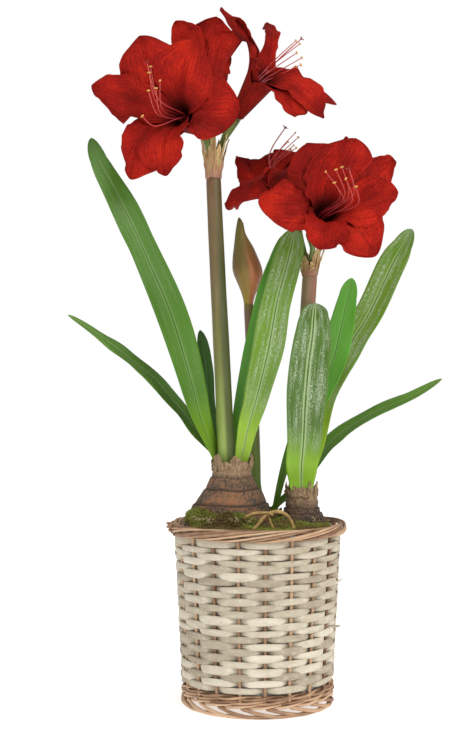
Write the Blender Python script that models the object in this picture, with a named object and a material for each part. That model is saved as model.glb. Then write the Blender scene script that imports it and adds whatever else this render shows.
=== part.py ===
"""Amaryllis in a willow basket: two flowering bulbs and an offset, planted together.

Sizes are in millimetres and become metres when a mesh is made. +Z is up, -Y is the front, and the
origin is on the basket's axis at floor level. The plant is laid out from a front drawing: a place
is given by its x and z on the drawing plane, which holds the basket's axis, and by its depth y.
"""

import math

import bmesh
import bpy
from mathutils import Vector

MM = 0.001
GAP = 0.3

# The drawing's viewpoint
EYE_DISTANCE = 1350.0
EYE_X = -19.5
EYE_Z = 332.0

# Basket
STAKE_COUNT = 19
STAKE_RADIUS = 2.0
WALL = 8.0
RADIUS_LOW = 75.5
RADIUS_HIGH = 83.5
RIM_RADIUS = 84.0
RIM_WIDTH = 12.0
RIM_BOTTOM = 167.5
RIM_TOP = 181.0
RIM_SIDES = 6
WALE_BOTTOM = 9.0
WALE_TOP = 22.0
WEAVE_TOP = 167.0
FOOT_TOP = 8.0
FOOT_RADIUS = 73.0
FOOT_ROD = 2.6
FOOT_SIDES = 6
TOE_LEAN = 0.8
RING_SIDES = 2 * STAKE_COUNT
WALL_SIDES = 3 * STAKE_COUNT
ROD_SIDES = 6
CHANNEL_OVERRUN = 5.0
BASE_THICKNESS = 6.0
LINER_WALL = 0.9
LINER_TOP = 176.0
SOIL_TOP = 171.0
MOSS_TOP = 178.0
MOSS_EDGE = 3.0
SEAT_LIFT = 40.0

# Bulbs: place of the axis, then (height, radius, shift of the axis in x)
BULB_LARGE_AT = (-29.5, -4.0)
BULB_LARGE = [(128, 12, 0), (134, 26, 0), (146, 38, 0), (160, 42.5, 0), (174, 43, 0),
              (185, 42, 0.5), (194.5, 38.5, 1.5), (204, 33, 2), (215.5, 26, 3), (222, 22.5, 3.5),
              (234, 18.8, 3.5), (243, 18.5, 3.5)]
BULB_SMALL_AT = (46.0, 12.0)
BULB_SMALL = [(138, 8, 0), (144, 17, 0), (156, 23, 0), (170, 24.5, 0), (182, 22, -0.5),
              (190, 18, -1), (200, 15.5, -1.5), (216, 14.2, -1.5)]
BULB_OFFSET_AT = (13.0, 37.0)
BULB_OFFSET = [(145, 5, 0), (152, 11, 0), (164, 13.5, 0), (176, 12.5, 0), (188, 11, 0)]
BULB_SIDES = 20

LEAF_THICKNESS = 1.6
LEAF_CHANNEL = 0.22
LEAF_STATIONS = 11
LEAF_TURN_SHARE = 0.4
TEPAL_THICKNESS = 1.0
TUBE_BASE_RADIUS = 6.6
TUBE_THROAT_RADIUS = 14.0
WHORL_INSET = 3.6
TUBE_INSET_SHARE = 0.57
TEPAL_ROWS = 5
TEPAL_COLUMNS = 4
TEPAL_FREE_SHARE = 0.45
SECTOR_USE = 0.96
# The bowl's outline from throat to edge, as parts of the reach and of the tip's height
KNEE_OUT = 0.08
KNEE_UP = 0.30
CREST_OUT = 0.62
CREST_LIFT = 0.9
CREST_UP = 0.14

# Midribs from the base up: (x, z, depth, width), and the way that the upper face looks at the
# base and at the tip
LEAVES = {
    "leaf_tall_left": (
        [(-43.0, 243.6, 1, 16), (-57, 283, -6, 24), (-70, 332, -12, 30), (-87.5, 389, -16, 33),
         (-111.5, 445, -20, 28), (-126, 477, -22, 29), (-143.5, 511, -24, 26),
         (-159.5, 541, -25, 17), (-166.5, 563, -25, 3)],
        (1.0, -0.25, 0.1), (0.35, -1.0, 0.1)),
    "leaf_low_left": (
        [(-41.5, 243.6, 12, 8), (-58, 264, 14, 13), (-73, 286, 18, 17), (-89.5, 305, 19, 18),
         (-102.5, 321, 20, 18), (-120.5, 336, 20, 17), (-139.5, 351, 19, 15),
         (-159.5, 366, 17, 11), (-189.5, 386, 14, 2.5)],
        (0.7, -0.7, 0.5), (0.3, -0.8, 0.8)),
    "leaf_short_left": (
        [(-29.5, 243.6, 14, 10), (-44, 262, 25, 14), (-50, 300, 26, 16), (-53, 340, 29, 15),
         (-57.5, 371, 30, 3)],
        (0.1, -1.0, 0.1), (0.2, -1.0, 0.1)),
    "leaf_mid_right": (
        [(-15.5, 243.6, -8, 14), (-8.5, 276, -14, 21), (0, 306, -18, 26), (11, 351, -20, 33),
         (19.5, 398, -18, 31), (30, 438, -14, 30), (34.5, 456, -11, 26), (37, 472, -9, 4)],
        (-0.1, -1.0, 0.15), (-0.3, -1.0, 0.2)),
    "leaf_mid_right_back": (
        [(-18.5, 243.6, 11, 11), (-19, 270, 11, 15), (-12, 314, 6, 17), (-3, 356, 0, 18),
         (7, 404, -2, 17), (18, 439, 0, 14), (26, 466, 2, 3)],
        (-0.3, -1.0, 0.1), (-0.3, -1.0, 0.1)),
    "leaf_front": (
        [(43.5, 216.6, 1.5, 25), (44, 236, -4, 31), (46, 261, -8, 36), (48, 299, -12, 40),
         (51, 335, -15, 40), (55, 366, -17, 38), (56.5, 386, -18, 28), (57.5, 398, -18, 8)],
        (0.0, -1.0, 0.2), (0.1, -1.0, 0.2)),
    "leaf_upper_right": (
        [(49, 216.6, 24, 11), (57, 256, 36, 20), (66, 299, 44, 25), (78.5, 329, 50, 27),
         (94.5, 359, 54, 30), (112.5, 389, 56, 30), (133.5, 433.5, 56, 29), (146, 456, 54, 21),
         (154.5, 472, 52, 3)],
        (0.1, -1.0, 0.1), (-0.2, -1.0, 0.4)),
    "leaf_plain_right": (
        [(17.5, 188.6, 36, 6), (27, 233, 35, 9), (42, 271, 33, 16), (61, 306, 30, 22),
         (75.5, 341, 27, 26), (84, 376, 24, 26), (90, 404, 22, 18), (94.5, 423, 21, 3)],
        (0.0, -1.0, 0.1), (0.1, -1.0, 0.1)),
    "leaf_low_right": (
        [(17.0, 188.6, 44, 7), (31, 206, 44, 9), (45, 222, 43, 13), (60, 243, 42, 18),
         (74, 259, 40, 20), (88.5, 271, 38, 19), (117.5, 288.5, 32, 15), (152, 303, 25, 12),
         (184.5, 322, 19, 2.5)],
        (-0.3, -1.0, 0.6), (-0.2, -0.8, 0.9)),
}

# Stalks: (x, z, depth, radius)
STALKS = {
    "stalk_tall": [(-31.0, 243.3, -1, 8.6), (-34.5, 321, -3, 8.4), (-37.5, 381, -3, 8.1),
                   (-40.5, 441, -2, 7.8), (-44, 522, 0, 7.6)],
    "stalk_short": [(45.0, 216.3, 13, 7.3), (47, 300, 10, 7.3), (50, 370, 6, 7.2),
                    (54, 425, 2, 7.1)],
    "stalk_bud": [(5.5, 188.3, 37, 5.6), (0, 240, 33, 5.6), (-5, 320, 24, 5.4),
                  (-9, 396, 18, 5.0)],
}
BUD_RINGS = [(-9, 396.3, 5.2), (-9.5, 404, 9), (-10, 415, 13), (-10.5, 432, 15.3),
             (-12, 445, 13.5), (-15, 460, 9), (-17, 472, 4.5), (-18, 482, 1.6)]
BUD_DEPTH = 18
STALK_STATIONS = 6
STALK_SIDES = 12
BUD_SIDES = 10

SPATHE_HEIGHT = 24.0
SPATHE_FLARE = 14.5
SPATHE_WALL = 1.1
SPATHE_SIDES = 16
PEDICEL_RADIUS = 2.3
PEDICEL_RING = 3.3
PEDICEL_RISE = 12.0
PEDICEL_SIDES = 7
PEDICEL_STATIONS = 8
OVARY_RADIUS = 5.8
OVARY_LENGTH = 8.0
OVARY_TOP_RADIUS = 5.2

# Flowers: the carrying stalk, its seat on the stalk (degrees), a pedicel point, the base and the
# throat of the tube as (x, z, depth), then the outer and the inner tepals, each as (tip x, tip z,
# tip depth, width)
FLOWERS = {
    "flower_front_left": {
        "stalk": "stalk_tall", "seat": 240, "bend": (-49, 553, -6),
        "base": (-58, 572, -12), "throat": (-76, 584, -38),
        "outer": [(-117, 664, -48, 54), (-129, 522, -58, 44), (-17, 601, -42, 64)],
        "inner": [(-163, 614, -62, 30), (-91, 525, -64, 31), (-58, 659, -54, 46)],
        "anthers": (-106, 632, -82)},
    "flower_side": {
        "stalk": "stalk_tall", "seat": 0, "bend": (-36, 556, 2),
        "base": (-20, 586, 0), "throat": (1, 618, -21),
        "outer": [(-38, 690, -8, 28), (39, 585, -30, 28), (77, 595, 24, 26)],
        "inner": [(-10, 654, -42, 22), (62, 580, -8, 28), (8, 675, 26, 13)],
        "anthers": (42, 652, -14)},
    "flower_back": {
        "stalk": "stalk_tall", "seat": 120, "bend": (-46, 560, 8),
        "base": (-46, 588, 14), "throat": (-50, 610, 42),
        "outer": [(-14, 666, 50, 34), (-82, 679, 62, 34), (-52, 565, 72, 38)],
        "inner": [(-40, 682, 56, 44), (-98, 622, 72, 38), (-20, 632, 68, 26)],
        "anthers": (-56, 650, 84)},
    "flower_front_right": {
        "stalk": "stalk_short", "seat": 270, "bend": (55, 452, -6),
        "base": (57, 470, -14), "throat": (66, 486, -38),
        "outer": [(48, 557, -46, 54), (1, 498, -52, 54), (113, 446, -60, 54)],
        "inner": [(61, 451, -60, 30), (138, 506, -52, 40), (96, 560, -56, 52)],
        "anthers": (82, 528, -80)},
    "flower_left": {
        "stalk": "stalk_short", "seat": 150, "bend": (44, 460, 4),
        "base": (34, 482, 6), "throat": (20, 508, 8),
        "outer": [(-33, 498, -6, 34), (34, 536, -26, 34), (22, 552, 50, 34)],
        "inner": [(-20, 538, 40, 24), (-2, 516, -34, 32), (54, 545, 18, 34)],
        "anthers": (36, 566, 10)},
    "flower_behind": {
        "stalk": "stalk_short", "seat": 30, "bend": (67, 462, 13),
        "base": (74, 484, 22), "throat": (92, 510, 38),
        "outer": [(88, 564, 44, 24), (54, 504, 72, 34), (130, 490, 62, 34)],
        "inner": [(62, 546, 66, 34), (96, 466, 72, 36), (138, 538, 46, 24)],
        "anthers": (112, 534, 82)},
}
FILAMENT_RADIUS = 0.8
FILAMENTS = 7
DISC_RADIUS = 3.7
DISC_HEIGHT = 1.5
DISC_SIDES = 10
FILAMENT_SIDES = 5
FILAMENT_STATIONS = 5

# Roots: their real x, z and y, and their radius
ROOT_STATIONS = 8
ROOTS = {
    "root_arch": ([(-3.5, 179.3, -53), (4, 191, -52), (14, 195, -50), (25, 192, -48),
                   (34, 179.3, -46)], 1.6),
    "root_flat": ([(-14, 179.7, -54), (-4, 184, -56), (7, 179.7, -59)], 1.4),
    "root_short": ([(18, 179.4, -36), (24, 185, -35), (31, 179.4, -34)], 1.3),
}


def clear_scene():
    """Empty the file."""
    for item in list(bpy.data.objects):
        bpy.data.objects.remove(item, do_unlink=True)


def seen(x, z, depth):
    """Real place of a point that lies at the given depth and is drawn at x, z."""
    scale = (EYE_DISTANCE + depth) / EYE_DISTANCE
    return Vector((EYE_X + (x - EYE_X) * scale, depth, EYE_Z + (z - EYE_Z) * scale))


def spline(rows, count):
    """Read count + 1 evenly placed rows from a smooth curve through rows of numbers."""
    out = []
    last = len(rows) - 1
    for step in range(count + 1):
        place = step * last / count
        at = min(int(place), last - 1)
        t = place - at
        before = rows[max(at - 1, 0)]
        after = rows[min(at + 2, last)]
        row = []
        for p0, p1, p2, p3 in zip(before, rows[at], rows[at + 1], after):
            row.append(p1 + 0.5 * t * (p2 - p0 + t * (2 * p0 - 5 * p1 + 4 * p2 - p3
                                                      + t * (3 * (p1 - p2) + p3 - p0))))
        out.append(row)
    return out


def smooth_step(value):
    """Ease from 0 to 1."""
    value = min(max(value, 0.0), 1.0)
    return value * value * (3 - 2 * value)


def make_material(name, colour, roughness, metallic=0.0):
    """One Principled material."""
    material = bpy.data.materials.get(name)
    if material is None:
        material = bpy.data.materials.new(name)
        material.use_nodes = True
        shader = material.node_tree.nodes["Principled BSDF"]
        shader.inputs["Base Color"].default_value = (*colour, 1.0)
        shader.inputs["Roughness"].default_value = roughness
        shader.inputs["Metallic"].default_value = metallic
        material.diffuse_color = (*colour, 1.0)
    return material


def make_object(name, vertices, faces, material):
    """An object from points in millimetres, with its faces pointing out."""
    mesh = bpy.data.meshes.new(name)
    mesh.from_pydata([tuple(c * MM for c in v) for v in vertices], [], faces)
    bm = bmesh.new()
    bm.from_mesh(mesh)
    bmesh.ops.recalc_face_normals(bm, faces=bm.faces)
    bm.to_mesh(mesh)
    bm.free()
    mesh.materials.append(material)
    mesh.shade_smooth()
    mesh.set_sharp_from_angle(angle=math.radians(35))
    item = bpy.data.objects.new(name, mesh)
    bpy.context.collection.objects.link(item)
    return item


def ring_stack(name, rings, material, closed=False):
    """A solid from rings of points: capped at both ends, or closed on itself."""
    sides = len(rings[0])
    vertices = [point for ring in rings for point in ring]
    faces = []
    spans = len(rings) if closed else len(rings) - 1
    for level in range(spans):
        low = level * sides
        high = (level + 1) % len(rings) * sides
        for side in range(sides):
            following = (side + 1) % sides
            faces.append((low + side, low + following, high + following, high + side))
    if not closed:
        faces.append(tuple(range(sides)))
        faces.append(tuple(range(len(vertices) - sides, len(vertices))))
    return make_object(name, vertices, faces, material)


def circle(centre, radius, sides, across=None, along=None):
    """Points on a circle, level unless two directions are given."""
    across = across or Vector((1, 0, 0))
    along = along or Vector((0, 1, 0))
    points = []
    for side in range(sides):
        angle = 2 * math.pi * side / sides
        points.append(centre + across * (radius * math.cos(angle))
                      + along * (radius * math.sin(angle)))
    return points


def tube_rings(centres, radii, sides):
    """Circles square to a path, with no twist from one to the next."""
    rings = []
    across = None
    for index, centre in enumerate(centres):
        before = centres[max(index - 1, 0)]
        after = centres[min(index + 1, len(centres) - 1)]
        heading = (after - before).normalized()
        if across is None:
            across = heading.orthogonal()
        across = (across - heading * across.dot(heading)).normalized()
        rings.append(circle(centre, radii[index], sides, across, heading.cross(across)))
    return rings


def turned_ring(name, profile, sides, material):
    """A ring about the basket's axis from a closed outline of (radius, height)."""
    vertices = []
    for radius, height in profile:
        vertices.append(circle(Vector((0, 0, height)), radius, sides))
    return ring_stack(name, vertices, material, closed=True)


def join_or_cut(item, other, operation):
    """Apply one Boolean and drop the other shape."""
    modifier = item.modifiers.new(operation.lower(), "BOOLEAN")
    modifier.operation = operation
    modifier.solver = "EXACT"
    modifier.object = other
    graph = bpy.context.evaluated_depsgraph_get()
    result = bpy.data.meshes.new_from_object(item.evaluated_get(graph))
    item.modifiers.remove(modifier)
    item.data = result
    bpy.data.objects.remove(other, do_unlink=True)


def wall_radius(height):
    """Outer radius of the woven wall at a height."""
    share = (height - FOOT_TOP) / (WEAVE_TOP - FOOT_TOP)
    return RADIUS_LOW + (RADIUS_HIGH - RADIUS_LOW) * share


def stake_points(index, low, high):
    """The middle line of one upright between two heights."""
    angle = 2 * math.pi * (index + 0.5) / STAKE_COUNT
    points = []
    for height in (low, high):
        radius = wall_radius(height) - WALL / 2
        points.append(Vector((radius * math.cos(angle), radius * math.sin(angle), height)))
    return points


def loose_tubes(name, paths, radius, sides, material):
    """Several separate round rods in one mesh, for a Boolean."""
    vertices = []
    faces = []
    for path in paths:
        for_rod = tube_rings(path, [radius] * len(path), sides)
        start = len(vertices)
        for ring in for_rod:
            vertices.extend(ring)
        for level in range(len(for_rod) - 1):
            low = start + level * sides
            for side in range(sides):
                following = (side + 1) % sides
                faces.append((low + side, low + following,
                              low + sides + following, low + sides + side))
        faces.append(tuple(range(start, start + sides)))
        faces.append(tuple(range(len(vertices) - sides, len(vertices))))
    return make_object(name, vertices, faces, material)


def build_basket():
    """The willow basket: base, uprights with their foot border, wale, weave and rim."""
    white_willow = make_material("whitewashed willow", (0.66, 0.60, 0.50), 0.75)
    brown_willow = make_material("brown willow", (0.42, 0.26, 0.14), 0.7)

    base_bottom = FOOT_TOP + GAP
    base_top = base_bottom + BASE_THICKNESS
    base_radius = wall_radius(base_bottom) - WALL - GAP
    ring_stack("basket_base", [circle(Vector((0, 0, height)), base_radius, RING_SIDES)
                               for height in (base_bottom, base_top)], brown_willow)

    # The foot ring is six-sided with a flat side down, and the uprights lean into it
    foot_middle = FOOT_ROD * math.cos(math.pi / FOOT_SIDES)
    profile = []
    for step in range(FOOT_SIDES):
        angle = 2 * math.pi * step / FOOT_SIDES
        profile.append((FOOT_RADIUS + FOOT_ROD * math.cos(angle),
                        foot_middle + FOOT_ROD * math.sin(angle)))
    stakes = turned_ring("basket_stakes", profile, RING_SIDES, brown_willow)
    paths = []
    for index in range(STAKE_COUNT):
        low, high = stake_points(index, FOOT_TOP, RIM_BOTTOM - GAP)
        angle = 2 * math.pi * (index + 0.5 + TOE_LEAN) / STAKE_COUNT
        toe = Vector((FOOT_RADIUS * math.cos(angle), FOOT_RADIUS * math.sin(angle), foot_middle))
        paths.append([toe, low, high])
    uprights = loose_tubes("uprights", paths, STAKE_RADIUS, ROD_SIDES, brown_willow)
    join_or_cut(stakes, uprights, "UNION")

    for name, low, high, material in (
            ("basket_wale", WALE_BOTTOM, WALE_TOP, brown_willow),
            ("basket_weave", WALE_TOP + GAP, WEAVE_TOP, white_willow)):
        outer_low, outer_high = wall_radius(low), wall_radius(high)
        profile = [(outer_low, low), (outer_high, high),
                   (outer_high - WALL, high), (outer_low - WALL, low)]
        wall = turned_ring(name, profile, WALL_SIDES, material)
        lines = [stake_points(index, low - CHANNEL_OVERRUN, high + CHANNEL_OVERRUN)
                 for index in range(STAKE_COUNT)]
        clear_radius = (STAKE_RADIUS + GAP) / math.cos(math.pi / ROD_SIDES)
        channels = loose_tubes("channels", lines, clear_radius, ROD_SIDES, material)
        join_or_cut(wall, channels, "DIFFERENCE")

    middle = (RIM_TOP + RIM_BOTTOM) / 2
    profile = []
    for step in range(RIM_SIDES):
        angle = 2 * math.pi * (step + 0.5) / RIM_SIDES
        profile.append((RIM_RADIUS + RIM_WIDTH / 2 * math.cos(angle),
                        middle + (RIM_TOP - RIM_BOTTOM) / 2 * math.sin(angle)))
    turned_ring("basket_rim", profile, RING_SIDES, brown_willow)


def bulb_rings(at, rings, grow=0.0):
    """The rings of one bulb, or, grown by a gap, of the hollow that it sits in."""
    out = []
    for index, (height, radius, shift) in enumerate(rings):
        drop = grow if index == 0 else 0.0
        lift = SEAT_LIFT if grow and index == len(rings) - 1 else 0.0
        centre = Vector((at[0] + shift, at[1], height - drop + lift))
        out.append(circle(centre, radius + grow, BULB_SIDES))
    return out


def build_bulbs_and_soil():
    """The bulbs, and the liner, soil and moss that hold them."""
    bulb_skin = make_material("bulb skin", (0.30, 0.20, 0.13), 0.85)
    film = make_material("liner film", (0.80, 0.80, 0.78), 0.35)
    peat = make_material("peat", (0.06, 0.04, 0.03), 0.95)
    moss_green = make_material("moss", (0.12, 0.16, 0.04), 0.95)
    bulbs = {"bulb_large": (BULB_LARGE_AT, BULB_LARGE), "bulb_small": (BULB_SMALL_AT, BULB_SMALL),
             "bulb_offset": (BULB_OFFSET_AT, BULB_OFFSET)}
    for name, (at, rings) in bulbs.items():
        ring_stack(name, bulb_rings(at, rings), bulb_skin)

    floor = FOOT_TOP + GAP + BASE_THICKNESS + GAP
    outer_low = wall_radius(floor) - WALL - GAP
    outer_high = min(wall_radius(LINER_TOP) - WALL, RIM_RADIUS - RIM_WIDTH / 2) - 4 * GAP
    inner_floor = floor + LINER_WALL
    ring_stack("liner", [circle(Vector((0, 0, height)), radius, RING_SIDES) for radius, height in (
        (outer_low, floor), (outer_high, LINER_TOP),
        (outer_high - LINER_WALL, LINER_TOP), (outer_low - LINER_WALL, inner_floor))], film)

    soil_floor = inner_floor + GAP

    def soil_radius(height):
        share = (height - inner_floor) / (LINER_TOP - inner_floor)
        low = outer_low - LINER_WALL - GAP
        high = outer_high - LINER_WALL - GAP
        return low + (high - low) * share

    soil = ring_stack("soil", [circle(Vector((0, 0, height)), soil_radius(height), RING_SIDES)
                               for height in (soil_floor, SOIL_TOP)], peat)
    moss_low = SOIL_TOP + GAP
    moss_radius = soil_radius(moss_low)
    outline = ((moss_low, moss_radius), (MOSS_TOP - MOSS_EDGE, moss_radius),
               (MOSS_TOP, moss_radius - MOSS_EDGE))
    moss = ring_stack("moss", [circle(Vector((0, 0, height)), radius, RING_SIDES)
                               for height, radius in outline], moss_green)
    for at, rings in bulbs.values():
        for filling in (soil, moss):
            hollow = ring_stack("hollow", bulb_rings(at, rings, GAP), peat)
            join_or_cut(filling, hollow, "DIFFERENCE")


def build_leaf(name, midrib, face_base, face_tip, material):
    """One strap leaf: a shallow channel in section, from its midrib and width."""
    stations = spline([list(seen(x, z, y)) + [width] for x, z, y, width in midrib],
                      LEAF_STATIONS)
    stations[0][2] = midrib[0][1]
    centres = [Vector(row[:3]) for row in stations]
    across = (-1.0, -0.5, 0.0, 0.5, 1.0)
    rings = []
    for index, centre in enumerate(centres):
        share = index / (len(centres) - 1)
        before = centres[max(index - 1, 0)]
        after = centres[min(index + 1, len(centres) - 1)]
        heading = (after - before).normalized()
        face = Vector(face_base).lerp(Vector(face_tip), smooth_step(share / LEAF_TURN_SHARE))
        face.normalize()
        side = heading.cross(face).normalized()
        face = side.cross(heading)
        if index == 0:
            side.z = 0
            side.normalize()
            face.z = 0
            face.normalize()
        half = stations[index][3] / 2
        upper = []
        lower = []
        for v in across:
            point = centre + side * (v * half) + face * (LEAF_CHANNEL * half * v * v)
            upper.append(point + face * (LEAF_THICKNESS / 2))
            lower.append(point - face * (LEAF_THICKNESS / 2))
        rings.append(upper + lower[::-1])
    return ring_stack(name, rings, material)


def build_leaves():
    """The nine strap leaves."""
    leaf_green = make_material("leaf", (0.10, 0.27, 0.04), 0.4)
    for name, (midrib, face_base, face_tip) in LEAVES.items():
        build_leaf(name, midrib, face_base, face_tip, leaf_green)


def build_stalks():
    """The flower stalks, the closed bud on its own stalk, and the roots."""
    stalk_skin = make_material("stalk", (0.28, 0.20, 0.12), 0.45)
    bud_skin = make_material("bud", (0.45, 0.22, 0.08), 0.5)
    root_skin = make_material("root", (0.50, 0.36, 0.16), 0.7)
    for name, rows in STALKS.items():
        stations = spline([list(seen(x, z, y)) + [radius] for x, z, y, radius in rows],
                          STALK_STATIONS)
        stations[0][2] = rows[0][1]
        rings = [circle(Vector(row[:3]), row[3], STALK_SIDES) for row in stations]
        ring_stack(name, rings, stalk_skin)
    rings = [circle(seen(x, z, BUD_DEPTH), radius, BUD_SIDES) for x, z, radius in BUD_RINGS]
    ring_stack("bud", rings, bud_skin)
    for name, (rows, radius) in ROOTS.items():
        centres = [Vector((x, y, z)) for x, z, y in spline(rows, ROOT_STATIONS)]
        ring_stack(name, tube_rings(centres, [radius] * len(centres), ROD_SIDES), root_skin)


def stalk_top(name):
    """Middle of a stalk's top face."""
    x, z, y, _ = STALKS[name][-1]
    return seen(x, z, y)


def build_spathes():
    """The papery bracts: a thin funnel on the top face of each flower stalk."""
    paper = make_material("spathe", (0.62, 0.48, 0.30), 0.8)
    for name, stalk in (("spathe_tall", "stalk_tall"), ("spathe_short", "stalk_short")):
        top = stalk_top(stalk)
        radius = STALKS[stalk][-1][3]
        levels = ((radius, GAP), (radius + SPATHE_WALL, SPATHE_HEIGHT / 2),
                  (SPATHE_FLARE, SPATHE_HEIGHT))
        rings = [circle(top + Vector((0, 0, lift)), r, SPATHE_SIDES) for r, lift in levels]
        rings += [circle(top + Vector((0, 0, lift)), r - SPATHE_WALL, SPATHE_SIDES)
                  for r, lift in reversed(levels)]
        ring_stack(name, rings, paper, closed=True)


def flower_frame(flower):
    """Base and throat of a flower's tube, with its axis and two directions across it."""
    base = seen(*flower["base"])
    throat = seen(*flower["throat"])
    axis = (throat - base).normalized()
    first = Vector((0.0, 0.0, 1.0))
    first = (first - axis * first.dot(axis)).normalized()
    return base, throat, axis, first, axis.cross(first)


def tip_places(flower):
    """Turn, reach, height, width and whorl of each tepal's tip, in order round the axis."""
    _, throat, axis, first, second = flower_frame(flower)
    tips = []
    for whorl in ("outer", "inner"):
        for tip_x, tip_z, tip_depth, width in flower[whorl]:
            offset = seen(tip_x, tip_z, tip_depth) - throat
            height = offset.dot(axis)
            flat = offset - axis * height
            turn = math.atan2(flat.dot(second), flat.dot(first)) % math.tau
            tips.append((turn, flat.length, height, width, whorl))
    return sorted(tips)


def bowl(tips, share, turn, inset):
    """Radius and height of the flower's open bowl at a share of the way to its edge."""
    for index, (low, reach, height, _, _) in enumerate(tips):
        next_turn, next_reach, next_height, _, _ = tips[(index + 1) % len(tips)]
        span = (next_turn - low) % math.tau
        if (turn - low) % math.tau <= span:
            break
    blend = smooth_step((turn - low) % math.tau / span)
    reach += (next_reach - reach) * blend
    height += (next_height - height) * blend
    curve = ((TUBE_THROAT_RADIUS, 0.0),
             (TUBE_THROAT_RADIUS + KNEE_OUT * reach, KNEE_UP * reach),
             (CREST_OUT * reach, CREST_LIFT * height + CREST_UP * reach),
             (reach, height))
    left = 1.0 - share
    weights = (left ** 3, 3 * share * left ** 2, 3 * share ** 2 * left, share ** 3)
    slopes = (-3 * left ** 2, 3 * left ** 2 - 6 * share * left,
              6 * share * left - 3 * share ** 2, 3 * share ** 2)
    radius, height = (sum(w * p[axis] for w, p in zip(weights, curve)) for axis in (0, 1))
    run, rise = (sum(w * p[axis] for w, p in zip(slopes, curve)) for axis in (0, 1))
    length = math.hypot(run, rise)
    return radius - inset * rise / length, height + inset * run / length


def tepal_width(share):
    """Width of a tepal along its length, as a part of its full width."""
    return math.sin(math.pi * min(0.17 + 0.78 * share, 0.965)) ** 0.75


def build_whorl(name, flower, whorl, inset, material):
    """Three tepals that share the flower's tube, as one thin shell."""
    base, throat, axis, first, second = flower_frame(flower)
    tips = tip_places(flower)
    own = [tip for tip in tips if tip[4] == whorl]
    borders = []
    for index, tip in enumerate(own):
        before = own[index - 1]
        borders.append(before[0] + (tip[0] - before[0]) % math.tau / 2)

    def place(radius, height, turn):
        return (throat + axis * height + first * (radius * math.cos(turn))
                + second * (radius * math.sin(turn)))

    vertices = []
    faces = []
    around = 3 * TEPAL_COLUMNS
    throat_turns = []
    for index in range(3):
        span = (borders[(index + 1) % 3] - borders[index]) % math.tau
        for column in range(TEPAL_COLUMNS):
            throat_turns.append(borders[index] + span * column / TEPAL_COLUMNS)
    tube_length = (throat - base).length
    tube_inset = inset * TUBE_INSET_SHARE
    for radius, height in ((TUBE_BASE_RADIUS - tube_inset, -tube_length),
                           (TUBE_THROAT_RADIUS - tube_inset, 0.0)):
        vertices.extend(place(radius, height, turn) for turn in throat_turns)
    for step in range(around):
        following = (step + 1) % around
        faces.append((step, following, around + following, around + step))

    for index, (middle, _, _, width, _) in enumerate(own):
        start = index * TEPAL_COLUMNS
        lower = [around + (start + column) % around for column in range(TEPAL_COLUMNS + 1)]
        low_edge = (borders[index] - middle + math.pi) % math.tau - math.pi
        high_edge = (borders[(index + 1) % 3] - middle) % math.tau
        for row in range(1, TEPAL_ROWS + 1):
            share = row / TEPAL_ROWS
            middle_radius, _ = bowl(tips, share, middle, inset)
            half = tepal_width(share) * width / 2 / middle_radius
            settle = smooth_step(share / TEPAL_FREE_SHARE)
            points = []
            for column in range(TEPAL_COLUMNS + 1):
                v = 2 * column / TEPAL_COLUMNS - 1
                arc = -v * low_edge if v < 0 else v * high_edge
                free = v * min(half, SECTOR_USE * (-low_edge if v < 0 else high_edge))
                turn = middle + arc + (free - arc) * settle
                points.append(place(*bowl(tips, share, turn, inset), turn))
            upper = list(range(len(vertices), len(vertices) + len(points)))
            vertices.extend(points)
            for column in range(TEPAL_COLUMNS):
                faces.append((lower[column], lower[column + 1], upper[column + 1], upper[column]))
            lower = upper
    whorl_object = make_object(name, vertices, faces, material)
    wall = whorl_object.modifiers.new("wall", "SOLIDIFY")
    wall.thickness = TEPAL_THICKNESS * MM
    wall.offset = 0.0


def build_stamens(name, flower, material):
    """Six filaments and the style, which rise from a small disc at the bottom of the tube."""
    base, throat, axis, first, second = flower_frame(flower)
    low = base - axis * (TEPAL_THICKNESS / 2)
    disc = ring_stack(name, [circle(low + axis * rise, DISC_RADIUS, DISC_SIDES, first, second)
                             for rise in (0.0, DISC_HEIGHT)], material)
    target = seen(*flower["anthers"])
    paths = []
    for index in range(FILAMENTS):
        angle = 2 * math.pi * index / FILAMENTS
        spoke = first * math.cos(angle) + second * math.sin(angle)
        end = target + spoke * (5.0 + 2.5 * (index % 3)) - axis * (6.0 * (index % 2))
        rows = [low + axis * (DISC_HEIGHT / 2) + spoke * (DISC_RADIUS * 0.6),
                throat + spoke * DISC_RADIUS,
                throat.lerp(end, 0.55) + spoke * 2.0 + axis * 5.0, end]
        paths.append([Vector(row) for row in spline(rows, FILAMENT_STATIONS)])
    filaments = loose_tubes("filaments", paths, FILAMENT_RADIUS, FILAMENT_SIDES, material)
    join_or_cut(disc, filaments, "UNION")


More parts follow.
